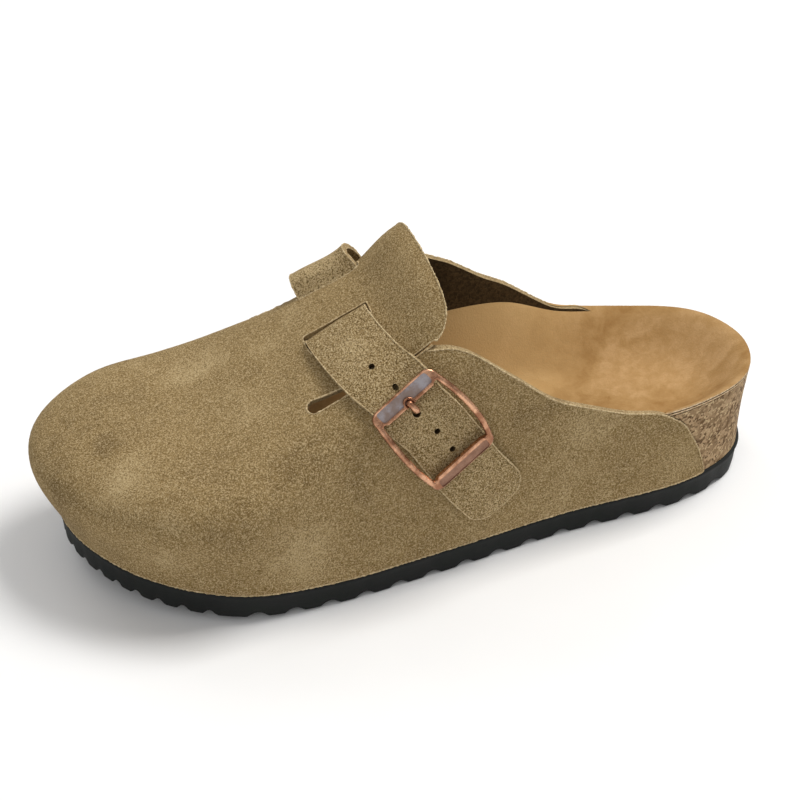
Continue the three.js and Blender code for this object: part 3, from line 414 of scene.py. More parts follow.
def weld(points, quads):
    """Merges equal points and splits quads into the triangles that are left."""
    key = np.round(points * WELD_CELLS).astype(np.int64)
    _, first, where = np.unique(key, axis=0, return_index=True, return_inverse=True)
    where = where.reshape(-1)
    quads = where[quads]
    tris = np.concatenate([quads[:, [0, 1, 2]], quads[:, [0, 2, 3]]])
    owner = np.tile(np.arange(len(quads)), 2)
    good = (tris[:, 0] != tris[:, 1]) & (tris[:, 1] != tris[:, 2]) & (tris[:, 2] != tris[:, 0])
    return points[first], tris[good], where, owner[good]


def ring_quads(rings, count, wrap_rings=False):
    bands = rings if wrap_rings else rings - 1
    k, j = np.meshgrid(np.arange(bands), np.arange(count), indexing="ij")
    following = (k + 1) % rings
    after = (j + 1) % count
    quads = [k * count + j, following * count + j, following * count + after, k * count + after]
    return np.stack(quads, axis=-1).reshape(-1, 4)


def vertex_normals(points, tris):
    a, b, c = (points[tris[:, i]] for i in range(3))
    face = np.cross(b - a, c - a)
    total = np.zeros_like(points)
    for i in range(3):
        np.add.at(total, tris[:, i], face)
    return unit(total)


def make_object(name, points, faces, materials, slots=None, smooth=True):
    mesh = bpy.data.meshes.new(name)
    mesh.from_pydata((points * MM).tolist(), [], [list(map(int, f)) for f in faces])
    for material in materials:
        mesh.materials.append(material)
    if slots is not None:
        mesh.polygons.foreach_set("material_index", np.asarray(slots, dtype=np.int32))
    mesh.polygons.foreach_set("use_smooth", np.full(len(mesh.polygons), smooth))
    mesh.update()
    item = bpy.data.objects.new(name, mesh)
    bpy.context.scene.collection.objects.link(item)
    return item


def rings_object(name, rings, materials, slots=None, wrap_rings=False, caps=None):
    """A body through rings of points. slots has one number for each band of rings."""
    rings = np.asarray(rings)
    count = rings.shape[1]
    quads = ring_quads(len(rings), count, wrap_rings)
    points, tris, where, owner = weld(rings.reshape(-1, 3), quads)
    picked = None if slots is None else list(np.repeat(slots, count)[owner])
    faces = tris.tolist()
    if caps is not None:
        for row, flip in ((0, False), (len(rings) - 1, True)):
            loop = [int(where[row * count + j]) for j in range(count)]
            faces.append(loop[::-1] if flip else loop)
            if picked is not None:
                picked.append(caps)
    return make_object(name, points, faces, materials, picked)


def fix_normals(item):
    mesh = bmesh.new()
    mesh.from_mesh(item.data)
    bmesh.ops.recalc_face_normals(mesh, faces=mesh.faces)
    mesh.to_mesh(item.data)
    mesh.free()


def solid(name, rings, material, capped=True):
    """A closed body of one material through rings of points."""
    item = rings_object(name, rings, [material], caps=0 if capped else None)
    fix_normals(item)
    return item


def carve(body, cutter, operation="DIFFERENCE"):
    """Cuts or joins with another solid, whose faces bring their material along."""
    modifier = body.modifiers.new("carve", "BOOLEAN")
    modifier.solver = "MANIFOLD"
    modifier.operation = operation
    modifier.material_mode = "TRANSFER"
    modifier.object = cutter
    graph = bpy.context.evaluated_depsgraph_get()
    mesh = bpy.data.meshes.new_from_object(body.evaluated_get(graph))
    body.modifiers.clear()
    body.data = mesh
    bpy.data.objects.remove(cutter)


def set_sharp(item, angle):
    """Smooth faces that meet at more than an angle in a crisp edge."""
    mesh = item.data
    mesh.polygons.foreach_set("use_smooth", np.full(len(mesh.polygons), True))
    mesh.set_sharp_from_angle(angle=math.radians(angle))


def outer_rings(rays, shares, depth, creased=False):
    """Rings of the last's surface, moved inwards along its normals by a depth."""
    rings = np.stack([last_points(rays, share) for share in shares])
    quads = ring_quads(len(shares), len(rays))
    points, tris, where, _ = weld(rings.reshape(-1, 3), quads)
    normals = vertex_normals(points, tris)[where].reshape(rings.shape)
    normals[-1, :, 2] = 0
    normals[-1] = unit(normals[-1])
    if creased:
        rings = rings + normals * relief(rings.reshape(-1, 3)).reshape(rings.shape[:2])[..., None]
    return rings - normals * depth


def steps(count, power=1.0):
    return (np.arange(count + 1) / count) ** power


FINE = rays_round(stations=92, toe=64, heel=40)
DOME = steps(84, 1.15)
CORE = steps(40, 0.9)


# Materials
class Paint:
    """A node material, with short calls for the nodes used here."""

    def __init__(self, name, roughness, metallic=0.0, specular=0.5):
        self.material = bpy.data.materials.new(name)
        self.material.use_nodes = True
        self.tree = self.material.node_tree
        self.shader = self.tree.nodes["Principled BSDF"]
        self.shader.inputs["Roughness"].default_value = roughness
        self.shader.inputs["Metallic"].default_value = metallic
        self.shader.inputs["Specular IOR Level"].default_value = specular
        self.place = self.tree.nodes.new("ShaderNodeTexCoord").outputs["Object"]

    def node(self, kind, **settings):
        made = self.tree.nodes.new(kind)
        for key, value in settings.items():
            setattr(made, key, value)
        return made

    def link(self, source, target):
        if isinstance(source, (int, float)):
            target.default_value = source
        elif isinstance(source, tuple):
            target.default_value = (*source, 1) if len(source) == 3 and target.type == "RGBA" else source
        else:
            self.tree.links.new(source, target)

    def noise(self, size, detail=2.0, rough=0.5, distortion=0.0, place=None):
        """Noise whose features are about size mm across."""
        made = self.node("ShaderNodeTexNoise")
        self.link(place or self.place, made.inputs["Vector"])
        made.inputs["Scale"].default_value = 1 / (size * MM)
        made.inputs["Detail"].default_value = detail
        made.inputs["Roughness"].default_value = rough
        made.inputs["Distortion"].default_value = distortion
        return made.outputs["Fac"]

    def cells(self, size, feature="F1", output="Distance", place=None):
        made = self.node("ShaderNodeTexVoronoi", feature=feature)
        self.link(place or self.place, made.inputs["Vector"])
        made.inputs["Scale"].default_value = 1 / (size * MM)
        return made.outputs[output]

    def ramp(self, value, low, high, start=0.0, end=1.0):
        made = self.node("ShaderNodeMapRange", interpolation_type="SMOOTHSTEP")
        for name, number in (("From Min", low), ("From Max", high), ("To Min", start), ("To Max", end)):
            made.inputs[name].default_value = number
        self.link(value, made.inputs["Value"])
        return made.outputs["Result"]

    def calc(self, operation, a, b=0.0, c=None):
        made = self.node("ShaderNodeMath", operation=operation)
        self.link(a, made.inputs[0])
        self.link(b, made.inputs[1])
        if c is not None:
            self.link(c, made.inputs[2])
        return made.outputs[0]

    def mix(self, share, a, b, blend="MIX"):
        made = self.node("ShaderNodeMix", data_type="RGBA", blend_type=blend)
        self.link(share, made.inputs["Factor"])
        self.link(a, made.inputs[6])
        self.link(b, made.inputs[7])
        return made.outputs[2]

    def over(self, shade, value, low, high, amount, colour):
        """A colour laid over a shade by up to an amount, as a value goes from low to high."""
        return self.mix(self.ramp(value, low, high, 0.0, amount), shade, colour)

    def spot(self, middle, radius):
        """1 at a place in mm, falling to 0 at a radius."""
        moved = self.node("ShaderNodeVectorMath", operation="SUBTRACT")
        self.link(self.place, moved.inputs[0])
        moved.inputs[1].default_value = tuple(v * MM for v in middle)
        length = self.node("ShaderNodeVectorMath", operation="LENGTH")
        self.link(moved.outputs[0], length.inputs[0])
        return self.ramp(length.outputs["Value"], radius * MM, 0.0)

    def bump(self, height, depth, strength=1.0):
        """Relief of a height from 0 to 1 over a depth in mm, on top of what is there."""
        made = self.node("ShaderNodeBump")
        made.inputs["Strength"].default_value = strength
        made.inputs["Distance"].default_value = depth * MM
        self.link(height, made.inputs["Height"])
        socket = self.shader.inputs["Normal"]
        if socket.is_linked:
            self.tree.links.new(socket.links[0].from_socket, made.inputs["Normal"])
        self.link(made.outputs["Normal"], socket)

    def colour(self, source):
        self.link(source, self.shader.inputs["Base Color"])

    def sheen(self, weight, roughness, tint):
        self.shader.inputs["Sheen Weight"].default_value = weight
        self.shader.inputs["Sheen Roughness"].default_value = roughness
        self.shader.inputs["Sheen Tint"].default_value = (*tint, 1)


def srgb(red, green, blue):
    """A colour from 0 to 255 as linear light."""
    def linear(value):
        value /= 255
        return value / 12.92 if value <= 0.04045 else ((value + 0.055) / 1.055) ** 2.4

    return tuple(linear(v) for v in (red, green, blue))


# Darker and lighter places on the vamp, partly the suede's own patches and partly painted shade and painted
# light: at, side, radius in mm, strength, darker or lighter.
DARK_PATCHES_AND_SHADE = [
    (0.845, -0.10, 9, 0.75), (0.690, -0.42, 30, 0.45), (0.935, -0.30, 26, 0.40),
    (0.620, -0.80, 26, 0.35), (0.780, -0.62, 22, 0.30), (0.560, -0.45, 16, 0.35),
    (0.400, -0.70, 22, 0.30), (0.480, 0.05, 18, 0.25),
]
PALE_PATCHES_AND_LIGHT = [
    (0.860, -0.30, 24, 0.55), (0.760, 0.10, 34, 0.35), (0.730, -0.85, 26, 0.45),
    (0.640, 0.05, 24, 0.30), (0.300, -0.80, 24, 0.35), (0.860, -0.70, 20, 0.40),
]
# Painted light on the strap where it loops into the inner slot, and a weaker spot on its outer side: at,
# side, radius in mm, strength.
STRAP_PAINTED_LIGHT = [(0.600, 0.22, 24, 1.1), (0.596, -0.20, 16, 0.5)]


def suede_paint(name, grain_strength, dark_patches_and_shade, pale_patches_and_light):
    """Brushed suede: broad soft clouds, short strokes of the nap and a salt and pepper grain."""
    paint = Paint(name, roughness=0.95, specular=0.12)
    clouds = paint.noise(34, detail=3, rough=0.5, distortion=0.3)
    brushed = paint.noise(8, detail=4, rough=0.6, distortion=0.5)
    nap = paint.noise(1.1, detail=2, rough=0.6)
    grain = paint.noise(0.62, detail=1, rough=0.5)
    fine = paint.noise(0.36, detail=1, rough=0.5)
    broad = paint.ramp(clouds, 0.32, 0.68, -0.3, 0.3)
    tone = paint.calc("ADD", broad, paint.ramp(brushed, 0.3, 0.7, -0.22, 0.22))
    # Darker and lighter spots: partly the suede's own patches, partly painted shade and painted light.
    for operation, places in (("SUBTRACT", dark_patches_and_shade), ("ADD", pale_patches_and_light)):
        for at, side, radius, strength in places:
            middle, _, _ = place_on_last(at, side)
            spot = paint.calc("MULTIPLY", paint.spot(middle, radius), strength)
            tone = paint.calc(operation, tone, spot)
    shade = paint.mix(paint.ramp(tone, 0.0, 0.9), SUEDE_BASE, SUEDE_LIGHT)
    shade = paint.mix(paint.ramp(tone, 0.0, -0.9), shade, SUEDE_DARK)
    shade = paint.over(shade, nap, 0.50, 0.72, 0.30, SUEDE_LIGHT)
    shade = paint.over(shade, nap, 0.50, 0.30, 0.30, SUEDE_DARK)
    shade = paint.over(shade, grain, 0.52, 0.66, grain_strength, SUEDE_FLECK)
    shade = paint.over(shade, grain, 0.48, 0.34, grain_strength, SUEDE_PIT)
    shade = paint.over(shade, fine, 0.52, 0.68, grain_strength, SUEDE_FLECK)
    shade = paint.over(shade, fine, 0.48, 0.32, grain_strength, SUEDE_PIT)
    paint.colour(shade)
    paint.sheen(0.12, 0.6, SUEDE_LIGHT)
    paint.bump(brushed, 0.4, 0.3)
    paint.bump(nap, 0.25, 0.6)
    paint.bump(grain, 0.16, 0.8)
    return paint


def edge_paint():
    """The raw cut edge of suede: lighter and fibrous."""
    paint = Paint("suede_edge", roughness=0.98, specular=0.1)
    fibres = paint.noise(0.5, detail=4, rough=0.7, distortion=0.5)
    patches = paint.noise(5, detail=3)
    shade = paint.mix(paint.ramp(fibres, 0.35, 0.65), srgb(122, 100, 68), srgb(186, 164, 124))
    shade = paint.over(shade, patches, 0.45, 0.7, 0.4, srgb(104, 84, 54))
    paint.colour(shade)
    paint.bump(fibres, 0.3, 0.8)
    return paint


def fuzz_paint():
    """The loose pale fibres along a cut edge."""
    paint = Paint("suede_fuzz", roughness=1.0, specular=0.05)
    fibres = paint.noise(0.7, detail=3, rough=0.6)
    paint.colour(paint.mix(paint.ramp(fibres, 0.35, 0.65), srgb(150, 128, 92), srgb(206, 186, 148)))
    paint.bump(fibres, 0.2, 0.8)
    return paint


def thread_paint():
    paint = Paint("sewing_thread", roughness=0.8, specular=0.2)
    strands = paint.noise(0.4, detail=2, rough=0.6)
    paint.colour(paint.mix(paint.ramp(strands, 0.35, 0.65), srgb(104, 84, 54), srgb(158, 136, 98)))
    paint.bump(strands, 0.1, 0.6)
    return paint


def lining_paint():
    """The suede's unfinished inner face, darker and coarser."""
    paint = Paint("suede_inside", roughness=1.0, specular=0.08)
    fibres = paint.noise(1.4, detail=5, rough=0.7, distortion=0.8)
    clouds = paint.noise(20, detail=3)
    shade = paint.mix(paint.ramp(fibres, 0.35, 0.65), srgb(56, 43, 27), srgb(86, 68, 44))
    shade = paint.over(shade, clouds, 0.4, 0.65, 0.5, srgb(46, 35, 22))
    paint.colour(shade)
    paint.bump(fibres, 0.35, 0.8)
    return paint


# The footbed is painted lighter under the instep: painted light on the arch's wall, which the lamps leave in
# shade.
BED_PAINTED_LIGHT = (32, 36, 46)
BED_PAINTED_LIGHT_RADIUS = 62


def footbed_paint():
    paint = Paint("footbed_suede", roughness=0.9, specular=0.2)
    clouds = paint.noise(26, detail=4, rough=0.55, distortion=0.5)
    mottles = paint.noise(6, detail=5, rough=0.6, distortion=0.5)
    nap = paint.noise(0.7, detail=3, rough=0.65)
    broad = paint.ramp(clouds, 0.34, 0.66, -0.4, 0.4)
    tone = paint.calc("ADD", broad, paint.ramp(mottles, 0.32, 0.68, -0.25, 0.25))
    shade = paint.mix(paint.ramp(tone, -0.1, 0.8), srgb(166, 130, 82), srgb(186, 150, 104))
    shade = paint.mix(paint.ramp(tone, 0.1, -0.8), shade, srgb(146, 108, 60))
    shade = paint.over(shade, nap, 0.6, 0.38, 0.16, srgb(134, 98, 56))
    # Painted light: the footbed lightened where the lamps leave it in shade.
    painted_light = paint.calc("MULTIPLY", paint.spot(BED_PAINTED_LIGHT, BED_PAINTED_LIGHT_RADIUS), 0.9)
    shade = paint.mix(painted_light, shade, srgb(226, 188, 130))
    paint.colour(shade)
    paint.sheen(0.12, 0.5, srgb(220, 186, 136))
    paint.bump(mottles, 0.3, 0.3)
    paint.bump(nap, 0.2, 0.6)
    return paint


def cork_paint():
    paint = Paint("cork_granules", roughness=0.85, specular=0.25)
    warp = paint.noise(2.6, detail=3, rough=0.6)
    moved = paint.node("ShaderNodeVectorMath", operation="MULTIPLY_ADD")
    spread = paint.node("ShaderNodeCombineXYZ")
    for socket in spread.inputs:
        paint.link(warp, socket)
    paint.link(spread.outputs[0], moved.inputs[0])
    moved.inputs[1].default_value = (0.0016, 0.0021, 0.0012)
    paint.link(paint.place, moved.inputs[2])
    place = moved.outputs[0]
    colour = paint.cells(1.7, output="Color", place=place)
    split = paint.node("ShaderNodeSeparateColor")
    paint.link(colour, split.inputs[0])
    edges = paint.cells(1.7, feature="DISTANCE_TO_EDGE", place=place)
    small = paint.cells(0.9, output="Color", place=place)
    split_small = paint.node("ShaderNodeSeparateColor")
    paint.link(small, split_small.inputs[0])
    shade = paint.mix(paint.ramp(split.outputs[0], 0.15, 0.85), srgb(136, 110, 78), srgb(176, 148, 112))
    shade = paint.mix(paint.ramp(split.outputs[1], 0.80, 0.90), shade, srgb(104, 78, 50))
    shade = paint.mix(paint.ramp(split_small.outputs[0], 0.84, 0.94), shade, srgb(92, 68, 44))
    shade = paint.mix(paint.ramp(split_small.outputs[1], 0.84, 0.94), shade, srgb(196, 172, 132))
    shade = paint.over(shade, edges, 0.08, 0.0, 0.45, srgb(112, 88, 60))
    paint.colour(shade)
    paint.bump(edges, 0.35, 0.6)
    paint.bump(split_small.outputs[2], 0.15, 0.5)
    return paint


def jute_paint():
    """The light woven layer under the footbed's lining."""
    paint = Paint("jute_layer", roughness=0.95, specular=0.15)
    threads = paint.noise(0.8, detail=3, rough=0.6)
    shade = paint.mix(paint.ramp(threads, 0.35, 0.65), srgb(176, 146, 108), srgb(222, 198, 164))
    paint.colour(shade)
    paint.bump(threads, 0.25, 0.8)
    return paint


def foam_paint():
    paint = Paint("eva_foam", roughness=0.7, specular=0.22)
    grain = paint.noise(0.6, detail=3, rough=0.6)
    clouds = paint.noise(18, detail=3)
    shade = paint.mix(paint.ramp(clouds, 0.35, 0.65), srgb(15, 17, 16), srgb(24, 27, 25))
    shade = paint.over(shade, grain, 0.62, 0.75, 0.3, srgb(40, 43, 41))
    paint.colour(shade)
    paint.link(paint.ramp(clouds, 0.3, 0.7, 0.52, 0.72), paint.shader.inputs["Roughness"])
    paint.bump(grain, 0.12, 0.6)
    return paint


def copper_paint(name, bright, dull, roughness):
    paint = Paint(name, roughness=roughness, metallic=1.0)
    clouds = paint.noise(6, detail=4, rough=0.6)
    brushed = paint.noise(0.6, detail=3, rough=0.6)
    shade = paint.mix(paint.ramp(clouds, 0.36, 0.62), bright, dull)
    shade = paint.over(shade, brushed, 0.55, 0.75, 0.5, dull)
    paint.colour(shade)
    gloss = paint.ramp(brushed, 0.3, 0.7, roughness - 0.06, roughness + 0.14)
    paint.link(gloss, paint.shader.inputs["Roughness"])
    paint.bump(brushed, 0.03, 0.4)
    return paint


SUEDE_BASE = srgb(136, 113, 73)
SUEDE_LIGHT = srgb(170, 148, 107)
SUEDE_DARK = srgb(106, 85, 51)
SUEDE_FLECK = srgb(192, 172, 134)
SUEDE_PIT = srgb(78, 60, 34)

suede = suede_paint("suede", 0.50, DARK_PATCHES_AND_SHADE, PALE_PATCHES_AND_LIGHT).material
strap_suede = suede_paint("strap_suede", 0.75, [], STRAP_PAINTED_LIGHT).material
cut_edge = edge_paint().material
fuzz = fuzz_paint().material
thread = thread_paint().material
lining = lining_paint().material
footbed_suede = footbed_paint().material
cork = cork_paint().material
jute = jute_paint().material
foam = foam_paint().material
copper = copper_paint("antique_copper", srgb(222, 172, 138), srgb(152, 106, 80), 0.27).material
copper_flat = copper_paint("rose_copper", srgb(160, 126, 106), srgb(140, 106, 88), 0.50).material
plate = copper_paint("dark_plate", srgb(176, 170, 174), srgb(150, 132, 124), 0.42).material


EDGE_POINTS = 160
CORNER_POINTS = 17
SLIT_ROWS = 41
ROUTE_ROWS = 241
PROFILE_ROWS = 2401


# The suede upper
def throat_cutter(clearance=0.0):
    """Everything behind and above the tongue's end, the toplines and the rear edge."""
    def side_point(at, up):
        return (x_at(at) + clearance, OUTSOLE_HEIGHT + up * INSTEP_HEIGHT + clearance)

    edge = Spline([side_point(at, up) for at, up in THROAT])(np.linspace(0, 1, EDGE_POINTS))
    tongue = x_at(TONGUE_END) + clearance
    mouth, following = edge[:2]
    slope = (following[1] - mouth[1]) / (following[0] - mouth[0])
    t = np.linspace(0, 1, CORNER_POINTS)[:-1, None]
    bend = np.array([tongue, mouth[1] + slope * (tongue - mouth[0]) + CORNER_BEND * TONGUE_CORNER])
    start = bend + [0, CORNER_START * TONGUE_CORNER]
    corner = start * (1 - t) ** 2 + bend * 2 * t * (1 - t) + mouth * t**2
    top = 2 * INSTEP_HEIGHT
    outline = np.vstack([
        [(LENGTH, top), (tongue, top)], corner, edge,
        [(edge[-1, 0], -OUTSOLE_HEIGHT), (LENGTH, -OUTSOLE_HEIGHT)],
    ])
    climb = throat_climb("climb", share_at(outline[:, 0])) * INSTEP_HEIGHT
    walls = []
    for y in np.linspace(-BALL_WIDTH, BALL_WIDTH, THROAT_STRIPS + 1):
        lift = climb * (y / BALL_WIDTH - THROAT_LEVEL)
        walls.append(np.column_stack([outline[:, 0], np.full(len(outline), y), outline[:, 1] + lift]))
    return solid("throat", walls, cut_edge)


def wall_frame(x, side, share):
    """Point, way down and way out of the suede at shares of rays across the foot."""
    step = 0.01
    here = Rays(x, 0, side)
    point = last_points(here, share)
    down = unit(last_points(here, share + step) - point)
    back = unit(last_points(Rays(x + 1, 0, side), share) - point)
    outward = unit(np.cross(down, back) * -side)
    return point, down, outward


def slit_cutter(side):
    mouth, end = SLIT[0][0], SLIT[-1][0]
    run = (end - mouth) * LENGTH
    radius = KEYHOLE_WIDTH / 2
    t = 1 - (1 - np.linspace(0, 1, SLIT_ROWS)) ** 2
    at = mouth + (end - mouth) * t
    to_end = run * (1 - t)
    round_end = np.sqrt(np.maximum(radius**2 - np.maximum(radius - to_end, 0) ** 2, 0.01))
    half = np.minimum(SLIT_WIDTH / 2 + (radius - SLIT_WIDTH / 2) * t * t, round_end)
    share = slit_table("outer" if side < 0 else "inner", at)
    point, down, outward = wall_frame(x_at(at), side, share)
    corners = [(-1, WALL), (1, WALL), (1, -2 * WALL), (-1, -2 * WALL)]
    rings = [point + down * (across * half)[:, None] + outward * out for across, out in corners]
    return solid("slit", np.stack(rings, axis=1), cut_edge)


# The strap's own frame: along its route, across it and up from the suede under it.
def route_points():
    rows = []
    for at, side in STRAP_ROUTE:
        ray = Rays([x_at(at)], 0, math.copysign(1, side))
        rows.append((ray.cx[0], ray.cy[0] + side * ray.reach[0], side))
    return Spline(rows)(np.linspace(0, 1, ROUTE_ROWS))


route = route_points()
route_along = along_points(last_points_at(route[:, :2]))
strap_length = route_along[-1]


def route_plan(along):
    return at_lengths(along, route_along, route[:, :2])


def along_at_side(side):
    return float(np.interp(-side, -route[:, 2], route_along))


def surface_frame(plan):
    step = 0.4
    point = last_points_at(plan)
    dx = (last_points_at(plan + [step, 0]) - last_points_at(plan - [step, 0])) / (2 * step)
    dy = (last_points_at(plan + [0, step]) - last_points_at(plan - [0, step])) / (2 * step)
    return point, dx, dy, unit(np.cross(dx, dy))


def dot(a, b):
    return (a * b).sum(axis=-1)


def step_over(plan, direction, distance):
    """Steps over the surface from plan points in 3-D directions."""
    _, dx, dy, normal = surface_frame(plan)
    flat = unit(direction - normal * dot(direction, normal)[:, None])
    xx, xy, yy = dot(dx, dx), dot(dx, dy), dot(dy, dy)
    fx, fy = dot(flat, dx), dot(flat, dy)
    scale = distance / (xx * yy - xy * xy)
    return plan + np.column_stack([(fx * yy - fy * xy) * scale, (fy * xx - fx * xy) * scale])


def on_strap(along, across, up):
    """Points of the strap's frame, in the clog's frame."""
    along, across, up = np.broadcast_arrays(*(np.asarray(v, float) for v in (along, across, up)))
    shape = along.shape
    along, across, up = along.ravel(), across.ravel(), up.ravel()
    inside = np.clip(along, 1, strap_length - 1)
    ahead = last_points_at(route_plan(inside + 1))
    heading = unit(ahead - last_points_at(route_plan(inside - 1)))
    plan = route_plan(np.clip(along, 0, strap_length))
    sideways = np.cross(surface_frame(plan)[3], heading)
    hops = 4
    for _ in range(hops):
        plan = step_over(plan, sideways, across / hops)
    point, _, _, normal = surface_frame(plan)
    return (point + normal * up[:, None]).reshape(*shape, 3)


ALONG_SLOT = {"inner": along_at_side(SLOT_SIDE_INNER), "outer": along_at_side(SLOT_SIDE_OUTER)}
along_prong = along_at_side(PRONG_SIDE)
STRAP_OUTSIDE = STRAP_GAP + STRAP_THICKNESS / 2
STRAP_INSIDE = -(WALL + 2 * STRAP_GAP + STRAP_THICKNESS / 2)
STRAP_TOP = STRAP_GAP + STRAP_THICKNESS


def strap_profile():
    """Rise and fall of the strap's middle, finely sampled: distance along and height."""
    rows = [(0, STRAP_OUTSIDE)]
    for slot, dips, up, loop in STRAP_RISE:
        level = up * (STRAP_OUTSIDE if up > 0 else -STRAP_INSIDE)
        rows.append((ALONG_SLOT[slot] + dips * STRAP_DIP, level + loop * STRAP_LOOP))
    rows.append((strap_length, STRAP_OUTSIDE))
    return Spline(rows)(np.linspace(0, 1, PROFILE_ROWS))


profile = strap_profile()
profile_along = along_points(profile)
profile_length = profile_along[-1]


def on_profile(stops):
    """Places on the strap's middle, and the headings there."""
    step = 0.2
    spot, ahead, behind = (at_lengths(stops + hop, profile_along, profile) for hop in (0, step, -step))
    return spot, unit(ahead - behind)


def strap_half_width(along):
    to_end = np.maximum(np.minimum(along, strap_length - along), 0)
    into = np.maximum(STRAP_CORNER - to_end, 0)
    return STRAP_WIDTH / 2 - STRAP_CORNER + np.sqrt(np.maximum(STRAP_CORNER**2 - into**2, 0))


def strap_stops(pitch):
    """Places of the strap's rings, finer round its rounded ends."""
    ends = STRAP_CORNER * (1 - np.cos(np.linspace(0, np.pi / 2, 10)))[:-1]
    count = int((profile_length - 2 * STRAP_CORNER) / pitch)
    middle = np.linspace(STRAP_CORNER, profile_length - STRAP_CORNER, count)
    return np.concatenate([ends, middle, (profile_length - ends)[::-1]])


FUZZ_STEP = 0.7
FUZZ_SIDES = 6
FUZZ_UNEVEN = 0.55
FUZZ_SHORTEST = 4
FUZZ_ON_UPPER = 0.3
FUZZ_ON_STRAP = 0.24
STITCH_INSET = 2.4
STITCH_RUN = 20
STITCH_PITCH = 3.2
STITCH_LENGTH = 2.3
STITCH_RADIUS = 0.34
STITCH_LIFT = 0.12
STITCH_ROWS = 9
STITCH_SIDES = 8
LANES = 18
EDGE_ROUND = 0.45
EDGE_STEPS = 3


def band_rings(stops, thickness, half_width, crown=0.0):
    """Rings of a flat band with softly rounded edges."""
    spot, heading = on_profile(stops)
    half = half_width(spot[:, 0])
    lanes = np.linspace(-1, 1, LANES + 1)
    section = [(0, lane, 0, 1) for lane in lanes]
    arc = np.linspace(0, np.pi / 2, EDGE_STEPS + 1)[1:]
    section += [(math.sin(a), 1, 1 - math.cos(a), 1) for a in arc]
    section += [(math.sin(a), 1, 1 - math.cos(a), -1) for a in arc[::-1]]
    section += [(0, lane, 0, -1) for lane in lanes[::-1]]
    section += [(math.sin(a), -1, 1 - math.cos(a), -1) for a in arc]
    section += [(math.sin(a), -1, 1 - math.cos(a), 1) for a in arc[::-1]]
    bulge, lane, drop, sign = (np.array(column, float) for column in zip(*section))
    across = (half - EDGE_ROUND)[:, None] * lane + bulge * lane * EDGE_ROUND
    rise = sign * (thickness / 2 - drop * EDGE_ROUND) + crown * (1 - lane**2) * (sign > 0)
    rise = np.broadcast_to(rise, across.shape)
    along = spot[:, :1] - heading[:, 1:] * rise
    up = spot[:, 1:] + heading[:, :1] * rise
    return on_strap(along, across, up), section


def slot_cutter(slot):
    stops = strap_stops(0.8)
    spot, _ = on_profile(stops)
    low = -(WALL + STRAP_THICKNESS / 2) - 1.2
    high = STRAP_THICKNESS / 2 + 1.2
    near = np.abs(spot[:, 0] - ALONG_SLOT[slot]) < 2 * STRAP_DIP
    picked = stops[near & (spot[:, 1] > low) & (spot[:, 1] < high)]
    half = STRAP_WIDTH / 2 + SLOT_GAP
    rings, _ = band_rings(picked, STRAP_THICKNESS + 2 * SLOT_GAP, lambda x: x * 0 + half)
    return solid("slot", rings, cut_edge)


def slot_mouth():
    """The square mouth of the outer slot, whose upper wall stands clear of the strap."""
    half = STRAP_WIDTH / 2 + SLOT_GAP
    start, end = (ALONG_SLOT["outer"] + hop for hop in SLOT_MOUTH)
    across = np.linspace(-half, half, 14)
    outline = [(start, a) for a in across] + [(end, a) for a in across[::-1]]
    along, aside = np.array(outline).T
    rings = [on_strap(along, aside, up) for up in (1.5, -(WALL + 1))]
    return solid("mouth", rings, cut_edge)


def make_upper():
    outer = outer_rings(FINE, DOME, 0, creased=True)
    inner = outer_rings(FINE, DOME, WALL, creased=True)[::-1]
    rows = np.concatenate([outer, inner])
    slots = [0] * (len(DOME) - 1) + [1] + [2] * (len(DOME) - 1)
    upper = rings_object("suede_upper", rows, [suede, cut_edge, lining], slots)
    carve(upper, throat_cutter())
    for side in (-1, 1):
        carve(upper, slit_cutter(side))
    for slot in ALONG_SLOT:
        carve(upper, slot_cutter(slot))
    carve(upper, slot_mouth())
    set_sharp(upper, 38)
    return upper


def hole_cutter(along, radius):
    angle = -2 * np.pi * np.arange(24) / 24
    along, across = along + radius * np.cos(angle), radius * np.sin(angle)
    return solid("hole", [on_strap(along, across, up) for up in (-1, STRAP_TOP + 1)], lining)


def make_strap():
    rings, section = band_rings(strap_stops(0.9), STRAP_THICKNESS, strap_half_width, crown=0.25)
    count = len(section)
    quads = ring_quads(len(rings), count)
    points, tris, where, owner = weld(rings.reshape(-1, 3), quads)
    bulge = np.array([row[0] for row in section])
    is_edge = (bulge + np.roll(bulge, -1)) > 0.9
    column = np.tile(np.arange(count), len(rings) - 1)
    slots = list(np.where(is_edge[column[owner]], 1, 0))
    faces = tris.tolist()
    for row in (0, len(rings) - 1):
        loop = [int(where[row * count + j]) for j in range(count)]
        faces.append(loop if row == 0 else loop[::-1])
        slots.append(1)
    strap = make_object("suede_strap", points, faces, [strap_suede, cut_edge, lining], slots)
    fix_normals(strap)
    for k in range(-2, 3):
        radius = PRONG_DIAMETER / 2 + GAP if k == 0 else HOLE_DIAMETER / 2
        carve(strap, hole_cutter(along_prong + k * HOLE_PITCH, radius))
    set_sharp(strap, 40)
    return strap


def material_borders(item, first, second):
    """Runs of points in mm along the edges between faces of two materials."""
    mesh = item.data
    kinds = {}
    for face in mesh.polygons:
        for key in face.edge_keys:
            kinds.setdefault(key, []).append(face.material_index)
    links = {}
    for (a, b), pair in kinds.items():
        if sorted(pair) == [first, second]:
            links.setdefault(a, []).append(b)
            links.setdefault(b, []).append(a)
    runs = []
    while links:
        start = next((v for v, ends in links.items() if len(ends) == 1), next(iter(links)))
        run = [start]
        while links.get(run[-1]):
            here = run[-1]
            following = links[here].pop()
            links[following].remove(here)
            run.append(following)
        for vertex in run:
            if vertex in links and not links[vertex]:
                del links[vertex]
        runs.append(np.array([mesh.vertices[v].co for v in run]) / MM)
    return runs


